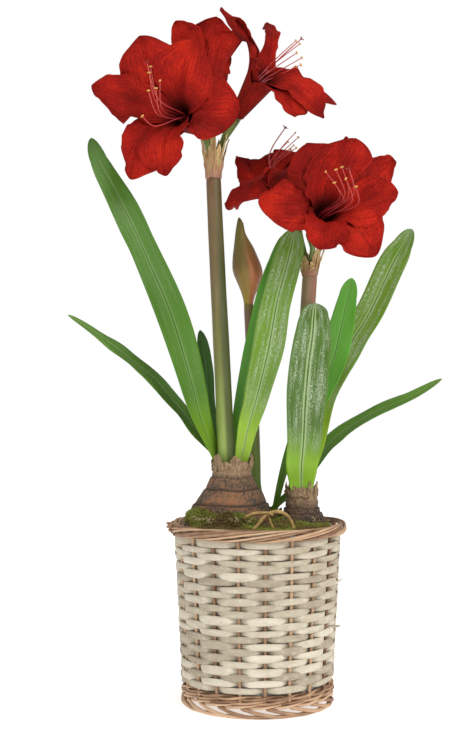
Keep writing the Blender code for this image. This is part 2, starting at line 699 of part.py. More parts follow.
def build_pedicel(name, flower, material):
    """The short flower stem from the stalk's top face, swelling to the ovary."""
    top = stalk_top(flower["stalk"])
    seat = math.radians(flower["seat"])
    foot = top + Vector((PEDICEL_RING * math.cos(seat), PEDICEL_RING * math.sin(seat), GAP))
    base, _, axis, _, _ = flower_frame(flower)
    end = base - axis * (GAP + TEPAL_THICKNESS / 2)
    rise = foot + Vector((0, 0, PEDICEL_RISE))
    route = ((foot, PEDICEL_RADIUS), (rise, PEDICEL_RADIUS),
             (seen(*flower["bend"]), PEDICEL_RADIUS),
             (end - axis * OVARY_LENGTH, OVARY_RADIUS), (end, OVARY_TOP_RADIUS))
    rows = [list(point) + [radius] for point, radius in route]
    stations = spline(rows, PEDICEL_STATIONS)
    centres = [Vector(row[:3]) for row in stations]
    rings = tube_rings(centres, [row[3] for row in stations], PEDICEL_SIDES)
    rings[0] = circle(foot, PEDICEL_RADIUS, PEDICEL_SIDES)
    across = rings[-1][0] - centres[-1]
    across = (across - axis * across.dot(axis)).normalized()
    rings[-1] = circle(end, OVARY_TOP_RADIUS, PEDICEL_SIDES, across, axis.cross(across))
    aligned = [rings[0]]
    for ring in rings[1:]:
        shift = min(range(PEDICEL_SIDES), key=lambda s: (ring[s] - aligned[-1][0]).length)
        aligned.append(ring[shift:] + ring[:shift])
    return ring_stack(name, aligned, material)


def build_flowers():
    """Six open flowers."""
    velvet = make_material("tepal", (0.42, 0.01, 0.01), 0.55)
    filament = make_material("filament", (0.60, 0.06, 0.08), 0.5)
    green = make_material("pedicel", (0.20, 0.28, 0.08), 0.5)
    for name, flower in FLOWERS.items():
        build_pedicel(name + "_pedicel", flower, green)
        build_whorl(name + "_outer_tepals", flower, "outer", 0.0, velvet)
        build_whorl(name + "_inner_tepals", flower, "inner", WHORL_INSET, velvet)
        build_stamens(name + "_stamens", flower, filament)


def main():
    clear_scene()
    build_basket()
    build_bulbs_and_soil()
    build_leaves()
    build_stalks()
    build_spathes()
    build_flowers()


main()
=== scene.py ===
"""Amaryllis in a willow basket: the finished surfaces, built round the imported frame.

Shapes are worked out in millimetres and become metres when a mesh is made. +Z is up and -Y is the
front. The plant is laid out from a front drawing: a place is given by its x and z on the drawing
plane, which holds the basket's axis, and by its depth y.
"""

import math
import random

import bpy
from bpy.props import FloatProperty, FloatVectorProperty, IntProperty, PointerProperty
from mathutils import Matrix, Vector, noise


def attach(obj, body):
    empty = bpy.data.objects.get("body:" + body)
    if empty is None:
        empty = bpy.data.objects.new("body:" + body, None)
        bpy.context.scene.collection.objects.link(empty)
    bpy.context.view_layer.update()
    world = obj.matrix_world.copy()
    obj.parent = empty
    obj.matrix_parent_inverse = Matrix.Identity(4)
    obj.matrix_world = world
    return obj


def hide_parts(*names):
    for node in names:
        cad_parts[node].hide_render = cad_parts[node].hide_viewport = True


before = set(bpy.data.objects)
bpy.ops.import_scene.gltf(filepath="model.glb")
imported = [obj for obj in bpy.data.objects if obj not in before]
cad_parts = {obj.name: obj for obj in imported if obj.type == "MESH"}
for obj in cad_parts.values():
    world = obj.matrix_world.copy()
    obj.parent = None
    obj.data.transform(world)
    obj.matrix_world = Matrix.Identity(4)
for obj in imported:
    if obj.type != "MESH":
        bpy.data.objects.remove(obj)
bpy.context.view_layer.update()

bl_info = {
    "name": "Amaryllis in a Willow Basket",
    "version": (1, 0, 0),
    "blender": (4, 5, 0),
    "location": "View3D > Sidebar > Amaryllis",
    "description": "Red amaryllis bulbs in bloom, planted in a woven willow basket",
    "category": "Add Mesh",
}

MM = 0.001
BODY = "root"
UP = Vector((0.0, 0.0, 1.0))
# Seeds of the chance draws
SEEDS = {"wall": 41, "uprights": 7, "wale": 23, "rim": 59, "base": 3, "moss": 101, "straw": 13}

# The drawing's viewpoint, in millimetres
EYE_DISTANCE = 1350.0
EYE_X = -19.5
EYE_Z = 332.0
FRAME_HEIGHT = 738.0
SENSOR_WIDTH = 36.0

# Basket wall: radius at the foot and at the top, and the heights between which it leans
STAKE_COUNT = 19
STAKE_STEP = math.tau / STAKE_COUNT
WALL = 8.0
RADIUS_LOW = 75.5
RADIUS_HIGH = 83.5
FOOT_TOP = 8.0
WEAVE_LOW = 22.0
WEAVE_TOP = 168.5
RIM_RADIUS = 84.0
RIM_MIDDLE = 174.25

# Weavers: the steps in one space between uprights, the corners of the section, the spaces that a
# weaver may pass, and how far each of its ends runs on
WEAVER_STEPS = 10
WEAVER_SIDES = 8
WEAVER_LENGTHS = (6, 8, 8, 10, 12)
WEAVER_OVERLAP = 0.25
# Split ends: place round the basket, height, tone, reach and lift
LOOSE_ENDS = ((18.35, 122.0, 0.9, 3.5, 2.0), (18.3, 80.0, 0.1, 3.5, -2.5))
# The low end of an upright: spaces passed, radius, height and its share of a chance drop
STAKE_BEND = ((0.3, 73.6, 8.6, 0), (0.85, 74.6, 5.2, 1), (1.45, 74.4, 2.6, 0),
              (2.1, 73.0, 2.15, 0), (2.7, 71.6, 2.1, 0), (3.1, 70.8, 2.2, 0))
# The wale's rods, the rim's roll with the turn in degrees at which a rod ends, and the tuft
WALE_HEIGHTS = (11.7, 15.6, 19.4)
WALE_STRANDS = 3
WALE_STEPS = 8
RIM_HALF_WIDTH = 4.7
RIM_HALF_HEIGHT = 5.5
RIM_WIND = 255.0
RIM_STEPS = 34
TUFT_RODS = 9
TUFT_PLACE = 9.6
# The woven base: its height, the reach of its spokes, and the turns and steps of its rod
BASE_LEVEL = 11.3
BASE_RADIUS = 66.5
BASE_TURNS = 17
BASE_STEPS = 5

# Bulbs: the node and the axis, how much rust shows, how high the moss climbs, the rings as
# (height, radius, shift of the axis in x), the heights of the skins' edges, the flaps round the
# neck as (angle in degrees, width, top height, flare), and the height of their feet
BULBS = {
    "large_bulb": {
        "node": "bulb_large", "at": (-29.5, -4.0), "rust": 1.0, "moss": 4.5,
        "rings": [(128, 12, 0), (134, 26, 0), (146, 38, 0), (160, 42.5, 0), (174, 43, 0),
                  (180, 42.8, 0.2), (185, 41.6, 0.8), (190, 40.2, 2.0), (194.5, 38.4, 2.9),
                  (199, 36, 3.2), (204, 32.8, 3.8), (210, 28.6, 4.3), (215.5, 25.4, 4.3),
                  (219, 23.4, 4.2), (221.5, 22, 4.1), (224, 20.6, 4.0), (228, 19.4, 3.9),
                  (234, 18.7, 3.8), (240, 18.2, 3.6)],
        "edges": (128, 150, 162, 172, 180, 188.5, 197.5, 212.0, 224.0, 260),
        "flaps": [(-139, 52, 248.0, 0.6), (-78, 44, 246.5, 0.9), (-22, 26, 247.5, 2.6),
                  (16, 50, 244.0, 1.0), (70, 60, 246.0, 0.6), (128, 60, 245.0, 0.8),
                  (170, 44, 243.0, 0.8), (-108, 50, 240.5, 0.0), (-50, 52, 241.0, 0.2),
                  (-165, 50, 240.0, 0.3), (0, 50, 239.0, 0.3), (44, 60, 240.0, 0.1),
                  (100, 60, 240.0, 0.1), (150, 50, 239.0, 0.1)],
        "flap_foot": 229.0},
    "small_bulb": {
        "node": "bulb_small", "at": (46.0, 12.0), "rust": 0.15, "moss": 4.0,
        "rings": [(138, 8, 0), (144, 17, 0), (156, 23, 0), (166, 24.3, 0), (174, 24.4, -0.2),
                  (179, 23.6, -0.4), (184, 21.4, -0.7), (189, 18.8, -1), (194, 17, -1.2),
                  (199, 15.8, -1.4), (205, 14.9, -1.5), (213, 14.2, -1.5)],
        "edges": (138, 158, 168, 175, 181.5, 187, 192, 198.5, 240),
        "flaps": [(-158, 34, 219.0, 2.2), (-124, 50, 215.5, 0.6), (-88, 40, 214.5, 0.3),
                  (-52, 34, 222.0, 0.8), (-22, 36, 219.5, 1.4), (20, 50, 216.0, 0.6),
                  (70, 60, 217.0, 0.6), (128, 60, 216.0, 0.7), (-104, 60, 212.0, 0.0),
                  (-36, 60, 214.0, 0.1), (170, 50, 213.0, 0.2), (46, 60, 212.0, 0.1),
                  (98, 60, 212.0, 0.1)],
        "flap_foot": 201.0},
    "offset_bulb": {
        "node": "bulb_offset", "at": (13.0, 37.0), "rust": 0.3, "moss": 5.0,
        "rings": [(145, 5, 0), (152, 11, 0), (158, 13, 0), (164, 13.5, 0), (170, 13.3, 0),
                  (176, 12.5, 0), (182, 11.5, 0), (187.5, 11, 0)],
        "edges": (145, 158, 165, 171, 177, 183, 240),
        "flaps": [(-120, 80, 189.5, 0.4), (-20, 80, 190, 0.4), (80, 80, 189.5, 0.4)],
        "flap_foot": 183.0},
}

# Midribs from the base up: (x, z, depth, width), then the way that the upper face looks at the
# base and at the tip, and the kind of leaf
LEAVES = {
    "leaf_tall_left": (
        [(-43.0, 243.6, 1, 16), (-57, 283, -6, 24), (-70, 332, -12, 30), (-87.5, 389, -16, 33),
         (-111.5, 445, -20, 28), (-126, 477, -22, 29), (-143.5, 511, -24, 26),
         (-159.5, 541, -25, 17), (-166.5, 563, -25, 3)],
        (1.0, -0.25, 0.1), (0.35, -1.0, 0.1), "plain"),
    "leaf_low_left": (
        [(-41.5, 243.6, 12, 8), (-58, 264, 14, 13), (-73, 286, 18, 17), (-89.5, 305, 19, 18),
         (-102.5, 321, 20, 18), (-120.5, 336, 20, 17), (-139.5, 351, 19, 15),
         (-159.5, 366, 17, 11), (-189.5, 386, 14, 2.5)],
        (0.7, -0.7, 0.5), (0.3, -0.8, 0.8), "dull"),
    # This leaf stands in shade, which is painted into its dark colours
    "leaf_short_left": (
        [(-29.5, 243.6, 14, 10), (-44, 262, 25, 14), (-50, 300, 26, 16), (-53, 340, 29, 15),
         (-57.5, 371, 30, 3)],
        (0.1, -1.0, 0.1), (0.2, -1.0, 0.1), "dark"),
    "leaf_mid_right": (
        [(-15.5, 243.6, -8, 14), (-8.5, 276, -14, 21), (0, 306, -18, 26), (11, 351, -20, 33),
         (19.5, 398, -18, 31), (30, 438, -14, 30), (34.5, 456, -11, 26), (37, 472, -9, 4)],
        (-0.1, -1.0, 0.15), (-0.3, -1.0, 0.2), "frosted"),
    "leaf_mid_right_back": (
        [(-18.5, 243.6, 11, 11), (-19, 270, 11, 15), (-12, 314, 6, 17), (-3, 356, 0, 18),
         (7, 404, -2, 17), (18, 439, 0, 14), (26, 466, 2, 3)],
        (-0.3, -1.0, 0.1), (-0.3, -1.0, 0.1), "bright"),
    "leaf_front": (
        [(43.5, 216.6, 1.5, 25), (44, 236, -4, 31), (46, 261, -8, 36), (48, 299, -12, 40),
         (51, 335, -15, 40), (55, 366, -17, 38), (56.5, 386, -18, 28), (57.5, 398, -18, 8)],
        (0.0, -1.0, 0.2), (0.1, -1.0, 0.2), "silver"),
    "leaf_upper_right": (
        [(49, 216.6, 24, 11), (57, 256, 36, 20), (66, 299, 44, 25), (78.5, 329, 50, 27),
         (94.5, 359, 54, 30), (112.5, 389, 56, 30), (133.5, 433.5, 56, 29), (146, 456, 54, 21),
         (154.5, 472, 52, 3)],
        (0.1, -1.0, 0.1), (-0.2, -1.0, 0.4), "frosted"),
    "leaf_plain_right": (
        [(17.5, 188.6, 36, 6), (27, 233, 35, 9), (42, 271, 33, 16), (61, 306, 30, 22),
         (75.5, 341, 27, 26), (84, 376, 24, 26), (90, 404, 22, 18), (94.5, 423, 21, 3)],
        (0.0, -1.0, 0.1), (0.1, -1.0, 0.1), "bright"),
    "leaf_low_right": (
        [(17.0, 188.6, 44, 7), (31, 206, 44, 9), (45, 222, 43, 13), (60, 243, 42, 18),
         (74, 259, 40, 20), (88.5, 271, 38, 19), (117.5, 288.5, 32, 15), (152, 303, 25, 12),
         (184.5, 322, 19, 2.5)],
        (-0.3, -1.0, 0.6), (-0.2, -0.8, 0.9), "dull"),
}
LEAF_THICKNESS = 1.7
LEAF_CHANNEL = 0.22
LEAF_TURN_SHARE = 0.4

# Stalks: (x, z, depth, radius)
STALKS = {
    "stalk_tall": [(-31.0, 243.3, -1, 8.6), (-34.5, 321, -3, 8.4), (-37.5, 381, -3, 8.1),
                   (-40.5, 441, -2, 7.8), (-44, 522, 0, 7.6)],
    "stalk_short": [(45.0, 216.3, 13, 7.3), (46.5, 300, 10, 7.5), (49, 370, 6, 7.7),
                    (52.3, 425, 2, 7.5)],
    "stalk_bud": [(5.5, 188.3, 37, 5.6), (1.2, 202, 36, 5.6), (-1.8, 218, 35, 5.5),
                  (-2.4, 245, 33, 5.5), (-5, 320, 24, 5.4), (-9, 396, 18, 5.0)],
}
# The bud: (x, z, radius)
BUD_RINGS = [(-9, 396.3, 5.1), (-8.8, 402, 6.0), (-8.4, 410, 8.6), (-8.8, 419, 12.2),
             (-9.8, 428, 14.9), (-11.2, 436, 14.6), (-13.0, 446, 12.1), (-14.4, 454, 9.8),
             (-16.0, 460, 7.6), (-17.8, 468, 4.9), (-17.9, 476, 3.5), (-18.2, 481, 2.2),
             (-18.3, 483.5, 1.0)]
BUD_DEPTH = 18

# Roots: their real x, z and y, and their radius
ROOTS = {
    "root_arch": ([(-6, 176.5, -53), (-0.2, 182.7, -53), (5.5, 189.5, -52), (13.2, 194.4, -51),
                   (22.9, 193.6, -49), (30.6, 187.3, -47), (34.4, 177.5, -46)], 1.9),
    "root_flat": ([(-13.5, 187.0, -46), (-11, 190.0, -49.5), (-6, 192.6, -51), (1.7, 193.6, -52.5),
                   (9, 193.8, -53.5), (14, 191.8, -54)], 1.6),
    "root_short": ([(9.0, 192.5, -50), (10.9, 186.3, -48.5), (13.3, 180.5, -47.5),
                    (15.5, 176.5, -47)], 1.4),
}

# Flowers: the carrying stalk, its seat on the stalk (degrees), a pedicel point, the base and the
# throat of the tube as (x, z, depth), the outer and the inner tepals, how the filaments sag, and
# the ends of the filaments and the style, or the middle of a bundle of them. A tepal is its tip
# as (x, z, depth), its width, and, where they aren't 0 and 1, its twist in degrees and its arch.
FLOWERS = {
    "flower_front_left": {
        "stalk": "stalk_tall", "seat": 240, "bend": (-49, 553, -6),
        "base": (-58, 572, -12), "throat": (-76, 584, -38),
        "outer": [(-117, 664, -48, 54), (-129, 522, -58, 44), (-18, 597, -42, 68)],
        "inner": [(-163, 614, -62, 30), (-91, 525, -64, 31), (-58, 659, -54, 46)],
        "sag": (-7, -6, -10),
        "anthers": [(-107, 634, -80), (-108.5, 628, -83), (-97.5, 620, -84),
                    (-101.5, 612.5, -82), (-109, 610, -78), (-115, 584.5, -74),
                    (-110.5, 638, -86)]},
    "flower_side": {
        "stalk": "stalk_tall", "seat": 0, "bend": (-36, 556, 2),
        "base": (-20, 586, 0), "throat": (1, 618, -21),
        "outer": [(-38, 690, -8, 28, 50), (39, 585, -30, 28), (77, 595, 24, 26)],
        "inner": [(-10, 654, -42, 22), (62, 580, -8, 28), (8, 675, 26, 13)],
        "sag": (-4, 7, 0),
        "anthers": [(38, 660, -20), (42, 657, -12), (39, 648, -24), (44, 643, -16),
                    (43, 636, -22), (38, 634, -10), (43.5, 662, -14)]},
    "flower_back": {
        "stalk": "stalk_tall", "seat": 120, "bend": (-46, 560, 8),
        "base": (-46, 588, 14), "throat": (-50, 610, 42),
        "outer": [(-14, 666, 50, 34), (-82, 679, 62, 34), (-52, 565, 72, 38)],
        "inner": [(-40, 682, 56, 44), (-98, 622, 72, 38), (-26, 642, 68, 26)],
        "sag": (0, -5, 5), "anthers": (-56, 650, 82)},
    "flower_front_right": {
        "stalk": "stalk_short", "seat": 270, "bend": (55, 452, -6),
        "base": (57, 470, -14), "throat": (66, 486, -38),
        "outer": [(48, 557, -46, 54), (1, 498, -52, 54), (120, 446, -60, 62)],
        "inner": [(61, 451, -60, 30), (138, 506, -52, 40), (96, 560, -56, 52)],
        "sag": (15, -4, -4),
        "anthers": [(68.5, 529, -78), (77.0, 518, -80), (78.5, 531, -82),
                    (84.5, 533.5, -80), (88.5, 522, -84), (98.5, 514, -78), (91.5, 532, -86)]},
    "flower_left": {
        "stalk": "stalk_short", "seat": 150, "bend": (44, 460, 4),
        "base": (34, 482, 6), "throat": (20, 508, 8),
        "outer": [(-33, 497, -6, 36, 28, 0.2), (34, 536, -26, 36), (15, 547, 48, 40)],
        "inner": [(-20, 540, 40, 19, 0, 0.8), (-2, 516, -34, 32), (54, 545, 18, 34)],
        "sag": (-13, 2, 3),
        "anthers": [(37.5, 568, 8), (40.5, 563.5, 12), (30, 559, 4), (36, 555.5, 8),
                    (33, 551, 14), (38.5, 553, 2), (27.5, 573, 10)]},
    "flower_behind": {
        "stalk": "stalk_short", "seat": 30, "bend": (67, 462, 13),
        "base": (74, 484, 22), "throat": (92, 510, 38),
        "outer": [(88, 564, 44, 24), (29, 522, 70, 52), (130, 490, 62, 34)],
        "inner": [(68, 552, 60, 34), (96, 466, 72, 36), (138, 538, 46, 24)],
        "sag": (4, -4, 4), "anthers": (112, 534, 80)},
}
TUBE_BASE_RADIUS = 6.6
THROAT_RADIUS = 14.0
# How far the sheets of each whorl lie inside the bowl
WHORLS = {"outer": 0.0, "inner": 3.6}
# How far a whorl's edges ruffle, and how far inwards they stand
RUFFLES = {"outer": (13.0, -2.0), "inner": (12.0, 1.0)}
# How far the whole edge sways and how deep the crease along the middle of a tepal is
SWAY = 4.5
CREASE = 1.6
# The share of a sheet's inset that it has at the foot of the tube, the share of a tepal's length
# over which it comes free of its neighbours, and the part of its sector that it may fill
TUBE_INSET_SHARE = 0.57
TEPAL_FREE_SHARE = 0.45
SECTOR_USE = 0.96
# The bowl's outline from throat to edge, as parts of the reach and of the tip's height
KNEE_OUT = 0.08
KNEE_UP = 0.3
CREST_OUT = 0.62
CREST_LIFT = 0.9
CREST_UP = 0.14
# The pedicel, its ring round the stalk's middle, its straight rise and the ovary at its end
PEDICEL_STEPS = 30
PEDICEL_SIDES = 20
PEDICEL_RADIUS = 2.7
PEDICEL_RING = 3.3
PEDICEL_RISE = 12.0
OVARY_RADIUS = 5.8
OVARY_LENGTH = 8.0
OVARY_TOP_RADIUS = 5.2
GAP = 0.3

# Columns across a leaf, steps in each span of its midrib, and steps in the span at its tip
LEAF_COLUMNS = 16
LEAF_STEPS = 9
LEAF_TIP_STEPS = 14
# How far leaves and stalks reach down into their bulb
ROOT_DEPTH = 10.0
# Rows and columns of a tepal's sheet, rows of its tube, its wall, and what its drawn width gains
TEPAL_ROWS = 30
TEPAL_COLUMNS = 22
TUBE_ROWS = 8
TEPAL_THICKNESS = 0.7
WIDTH_GAIN = 1.24
# The stamens end in six anthers and the style, and stand on a small disc
STAMEN_ENDS = 7
FILAMENT_STEPS = 18
FILAMENT_RADIUS = 0.75
STYLE_RADIUS = 0.95
DISC_RADIUS = 3.7
# The dry skins: flaps round the necks, strips on the stalks, and how far a skin's edge stands out
PAPER_THICKNESS = 0.4
FLAP_LEVELS = 14
FLAP_COLUMNS = 18
STRIP_LEVELS = 18
STRIP_COLUMNS = 8
LEDGE = 2.2
ROOT_STEPS = 40
# The moss: its mean height, its underside, and the points and rings of its bed
MOSS_LEVEL = 177.0
MOSS_FLOOR = 171.4
MOSS_RADIUS = 72.6
MOSS_SIDES = 128
MOSS_RINGS = 50
MOSS_LEAVES = 11000
# How high moss climbs the large bulb, at even steps round it between two angles in degrees
MOSS_CLIMB_SIDES = (130.0, 320.0)
MOSS_CLIMB = [(182,), (185,), (188,), (193,), (196,), (191,), (193,), (189,), (182,)]
# Dry bits: how many at each place, and the places as x, z, depth and spread
STRAW_BITS = 16
STRAW = [(-52, 182.5, -50, 6), (-46, 180.0, -56, 5), (-23, 181.5, -54, 4), (-62, 183, -40, 5),
         (30, 183, -45, 5), (58, 182, -30, 5), (-8, 180.5, -58, 4)]
# Stalks: how far the top reaches into the flowers, and the heights over which the colour changes
STALK_OVERLAP = 8.0
STALK_LOW = 188.0
STALK_RISE = 340.0
# Where the bud's right bract begins, in radians from the front, from foot to tip
BUD_SEAM = [(0.42,), (0.4,), (0.36,), (0.3,), (0.28,), (0.36,), (0.25,), (0.05,)]
# Dry strips at the tops of the stalks: angle, width, height, flare and curl
SPATHES = {
    "spathe_tall": ("stalk_tall", [
        (-118, 13, 38, 1.5, -8), (-62, 12, 34, 2.5, 10), (-90, 7, 47, 1.0, 0),
        (-160, 12, 50, 5.0, -12), (160, 13, 44, 6.0, 0), (110, 14, 48, 4.0, 0),
        (60, 13, 42, 6.0, 8), (10, 12, 40, 7.5, 0), (-30, 8, 46, 6.0, 14), (-105, 4, 54, 2.5, 6),
        (-75, 3.5, 52, 3.5, -8), (-140, 4, 55, 4.0, 10), (-48, 3, 40, 7.0, 20)]),
    "spathe_short": ("stalk_short", [
        (-55, 14, 30, 3.0, 12), (-30, 9, 31, 5.0, 6), (-120, 12, 21, 2.0, -14),
        (-160, 10, 14, 3.0, 0), (160, 12, 16, 3.0, 0), (100, 14, 24, 4.0, 0),
        (45, 12, 28, 6.0, 0), (5, 12, 26, 7.0, 8), (-75, 8, 14, 3.5, -10)]),
}

# Leaf kinds: the colours of base, middle and tip, where the base's colour ends, then the bloom,
# the specks and the roughness
LEAF_LOOKS = {
    "plain": ((0.23, 0.41, 0.02), (0.058, 0.158, 0.01), (0.046, 0.133, 0.01),
              0.12, 0.12, 0.1, 0.28),
    "dull": ((0.16, 0.3, 0.02), (0.08, 0.195, 0.018), (0.105, 0.22, 0.024),
             0.15, 0.3, 0.05, 0.38),
    # dark: the short leaf at the back, its colours darkened as painted shade
    "dark": ((0.04, 0.105, 0.012), (0.028, 0.09, 0.014), (0.022, 0.08, 0.014),
             0.1, 0.05, 0.04, 0.36),
    "frosted": ((0.31, 0.5, 0.034), (0.13, 0.245, 0.016), (0.085, 0.18, 0.016),
                0.24, 0.65, 0.9, 0.28),
    "silver": ((0.24, 0.44, 0.022), (0.058, 0.12, 0.01), (0.05, 0.085, 0.016),
               0.27, 0.85, 1.00, 0.28),
    "bright": ((0.18, 0.4, 0.024), (0.078, 0.29, 0.018), (0.07, 0.265, 0.018),
               0.2, 0.08, 0.05, 0.3),
}
# Colours of the plant: the label of each and the colour
PLANT_COLOURS = {
    "petal": ("Tepal", (0.265, 0.009, 0.006)),
    "petal_bright": ("Tepal highlight", (0.6, 0.025, 0.0095)),
    "petal_dark": ("Tepal shade", (0.105, 0.005, 0.004)),
    # Tepal rim: a painted highlight along the edges
    "petal_edge": ("Tepal rim", (0.56, 0.04, 0.012)),
    # Throat: near-black red, painted shade inside the tube
    "throat": ("Throat", (0.045, 0.006, 0.005)),
    "filament": ("Filament", (0.27, 0.012, 0.018)),
    "filament_end": ("Filament end", (0.48, 0.05, 0.04)),
    "pollen": ("Pollen", (0.78, 0.43, 0.12)),
    "pollen_dark": ("Pollen shade", (0.45, 0.18, 0.04)),
    "stem_green": ("Pedicel", (0.18, 0.26, 0.05)),
    "ovary": ("Ovary", (0.11, 0.15, 0.03)),
    "vein_light": ("Leaf vein", (0.15, 0.33, 0.03)),
    # Dark veins and mottle of the leaves, also painted shade in the midrib's groove and on the
    # underside
    "vein_dark": ("Leaf shade", (0.028, 0.085, 0.01)),
    "bloom": ("Leaf bloom", (0.29, 0.36, 0.24)),
    "grain": ("Leaf specks", (0.5, 0.57, 0.42)),
    "rib": ("Leaf midrib", (0.34, 0.45, 0.2)),
    "skin_dark": ("Bulb skin shade", (0.04, 0.028, 0.019)),
    "skin_mauve": ("Bulb skin grey", (0.12, 0.083, 0.056)),
    "skin_brown": ("Bulb skin brown", (0.225, 0.135, 0.08)),
    "skin_tan": ("Bulb skin tan", (0.35, 0.215, 0.125)),
    "skin_rust": ("Bulb skin rust", (0.35, 0.15, 0.066)),
    "neck": ("Bulb neck", (0.33, 0.22, 0.125)),
    "neck_dark": ("Bulb neck shade", (0.14, 0.082, 0.045)),
    "neck_pale": ("Bulb neck highlight", (0.47, 0.345, 0.215)),
    "moss_brown": ("Moss soil", (0.15, 0.092, 0.038)),
    "moss_dark": ("Moss", (0.185, 0.152, 0.04)),
    "moss_bright": ("Moss tips", (0.25, 0.3, 0.045)),
    "spathe": ("Spathe", (0.47, 0.29, 0.12)),
    "spathe_foot": ("Spathe foot", (0.43, 0.19, 0.13)),
    "straw": ("Spathe tips", (0.64, 0.45, 0.21)),
}
# Where the throat's shade begins and ends along a tepal, and its depth
THROAT_SHADES = {"outer": (0.05, 0.3, 0.35), "inner": (-0.05, 0.36, 0.9)}
# The bud's left and right bract, from foot to tip
BUD_COLOURS = (
    ((0.0, (0.34, 0.24, 0.016)), (0.22, (0.29, 0.17, 0.02)), (0.45, (0.2, 0.13, 0.026)),
     (0.7, (0.17, 0.135, 0.024)), (1.0, (0.13, 0.12, 0.018))),
    ((0.0, (0.42, 0.15, 0.045)), (0.3, (0.44, 0.15, 0.05)), (0.55, (0.34, 0.145, 0.045)),
     (0.75, (0.26, 0.155, 0.024)), (1.0, (0.16, 0.15, 0.03))))
# Stalks: colours from foot to top, the tint of the shaded side and how strong it is
STALK_LOOKS = {
    "stalk_tall": (((0.0, (0.3, 0.39, 0.08)), (0.22, (0.254, 0.352, 0.072)),
                    (0.45, (0.155, 0.165, 0.036)), (0.7, (0.145, 0.1, 0.036)),
                    (1.0, (0.16, 0.08, 0.034))), (0.042, 0.058, 0.01), 0.86),
    "stalk_short": (((0.0, (0.19, 0.29, 0.05)), (0.12, (0.2, 0.25, 0.06)),
                     (0.35, (0.3, 0.21, 0.11)), (1.0, (0.356, 0.223, 0.125))),
                    (0.33, 0.12, 0.075), 0.55),
    "stalk_bud": (((0.0, (0.13, 0.215, 0.028)), (0.25, (0.14, 0.19, 0.034)),
                   (0.42, (0.23, 0.13, 0.09)), (0.57, (0.24, 0.13, 0.085)),
                   (0.61, (0.18, 0.15, 0.025))), (0.11, 0.07, 0.03), 0.3),
}


def seen(x, z, depth):
    """Real place of a point that lies at the given depth and is drawn at x, z."""
    scale = (EYE_DISTANCE + depth) / EYE_DISTANCE
    return Vector((EYE_X + (x - EYE_X) * scale, depth, EYE_Z + (z - EYE_Z) * scale))


def spline(rows, count):
    """Read count + 1 evenly placed rows from a smooth curve through rows of numbers."""
    return [spline_at(rows, step / count) for step in range(count + 1)]


def spline_at(rows, share):
    """One row at a share of the way along a smooth curve through rows of numbers."""
    last = len(rows) - 1
    place = min(max(share, 0.0), 1.0) * last
    at = min(int(place), last - 1)
    t = place - at
    before = rows[max(at - 1, 0)]
    after = rows[min(at + 2, last)]
    row = []
    for p0, p1, p2, p3 in zip(before, rows[at], rows[at + 1], after):
        row.append(p1 + 0.5 * t * (p2 - p0 + t * (2 * p0 - 5 * p1 + 4 * p2 - p3
                                                  + t * (3 * (p1 - p2) + p3 - p0))))
    return row


def smooth_step(value):
    """Ease from 0 to 1."""
    value = min(max(value, 0.0), 1.0)
    return value * value * (3 - 2 * value)


def wobble(*place):
    """Smooth noise from -1 to 1 at a place of up to three numbers."""
    place = tuple(place) + (0.0,) * (3 - len(place))
    return noise.noise(Vector(place))


def wall_radius(height):
    """Outer radius of the woven wall at a height."""
    share = (height - FOOT_TOP) / (WEAVE_TOP - FOOT_TOP)
    return RADIUS_LOW + (RADIUS_HIGH - RADIUS_LOW) * share


def polar(radius, angle, height=0.0):
    """A point by its distance from an upright axis, its angle round it and its height."""
    return Vector((radius * math.cos(angle), radius * math.sin(angle), height))


def round_basket(step, radius, height):
    """A point by its place round the basket, counted in spaces between uprights."""
    return polar(radius, step * STAKE_STEP, height)


def spoke(first, second, angle, radius=1.0):
    """A step of one radius away from an axis, between two directions across it."""
    return first * (radius * math.cos(angle)) + second * (radius * math.sin(angle))


def square_to(heading, vector):
    """The direction of a vector's share that lies square to a heading."""
    return (vector - heading * vector.dot(heading)).normalized()


def headings(centres):
    """The direction of travel at each point of a path."""
    last = len(centres) - 1
    return [(centres[min(index + 1, last)] - centres[max(index - 1, 0)]).normalized()
            for index in range(last + 1)]


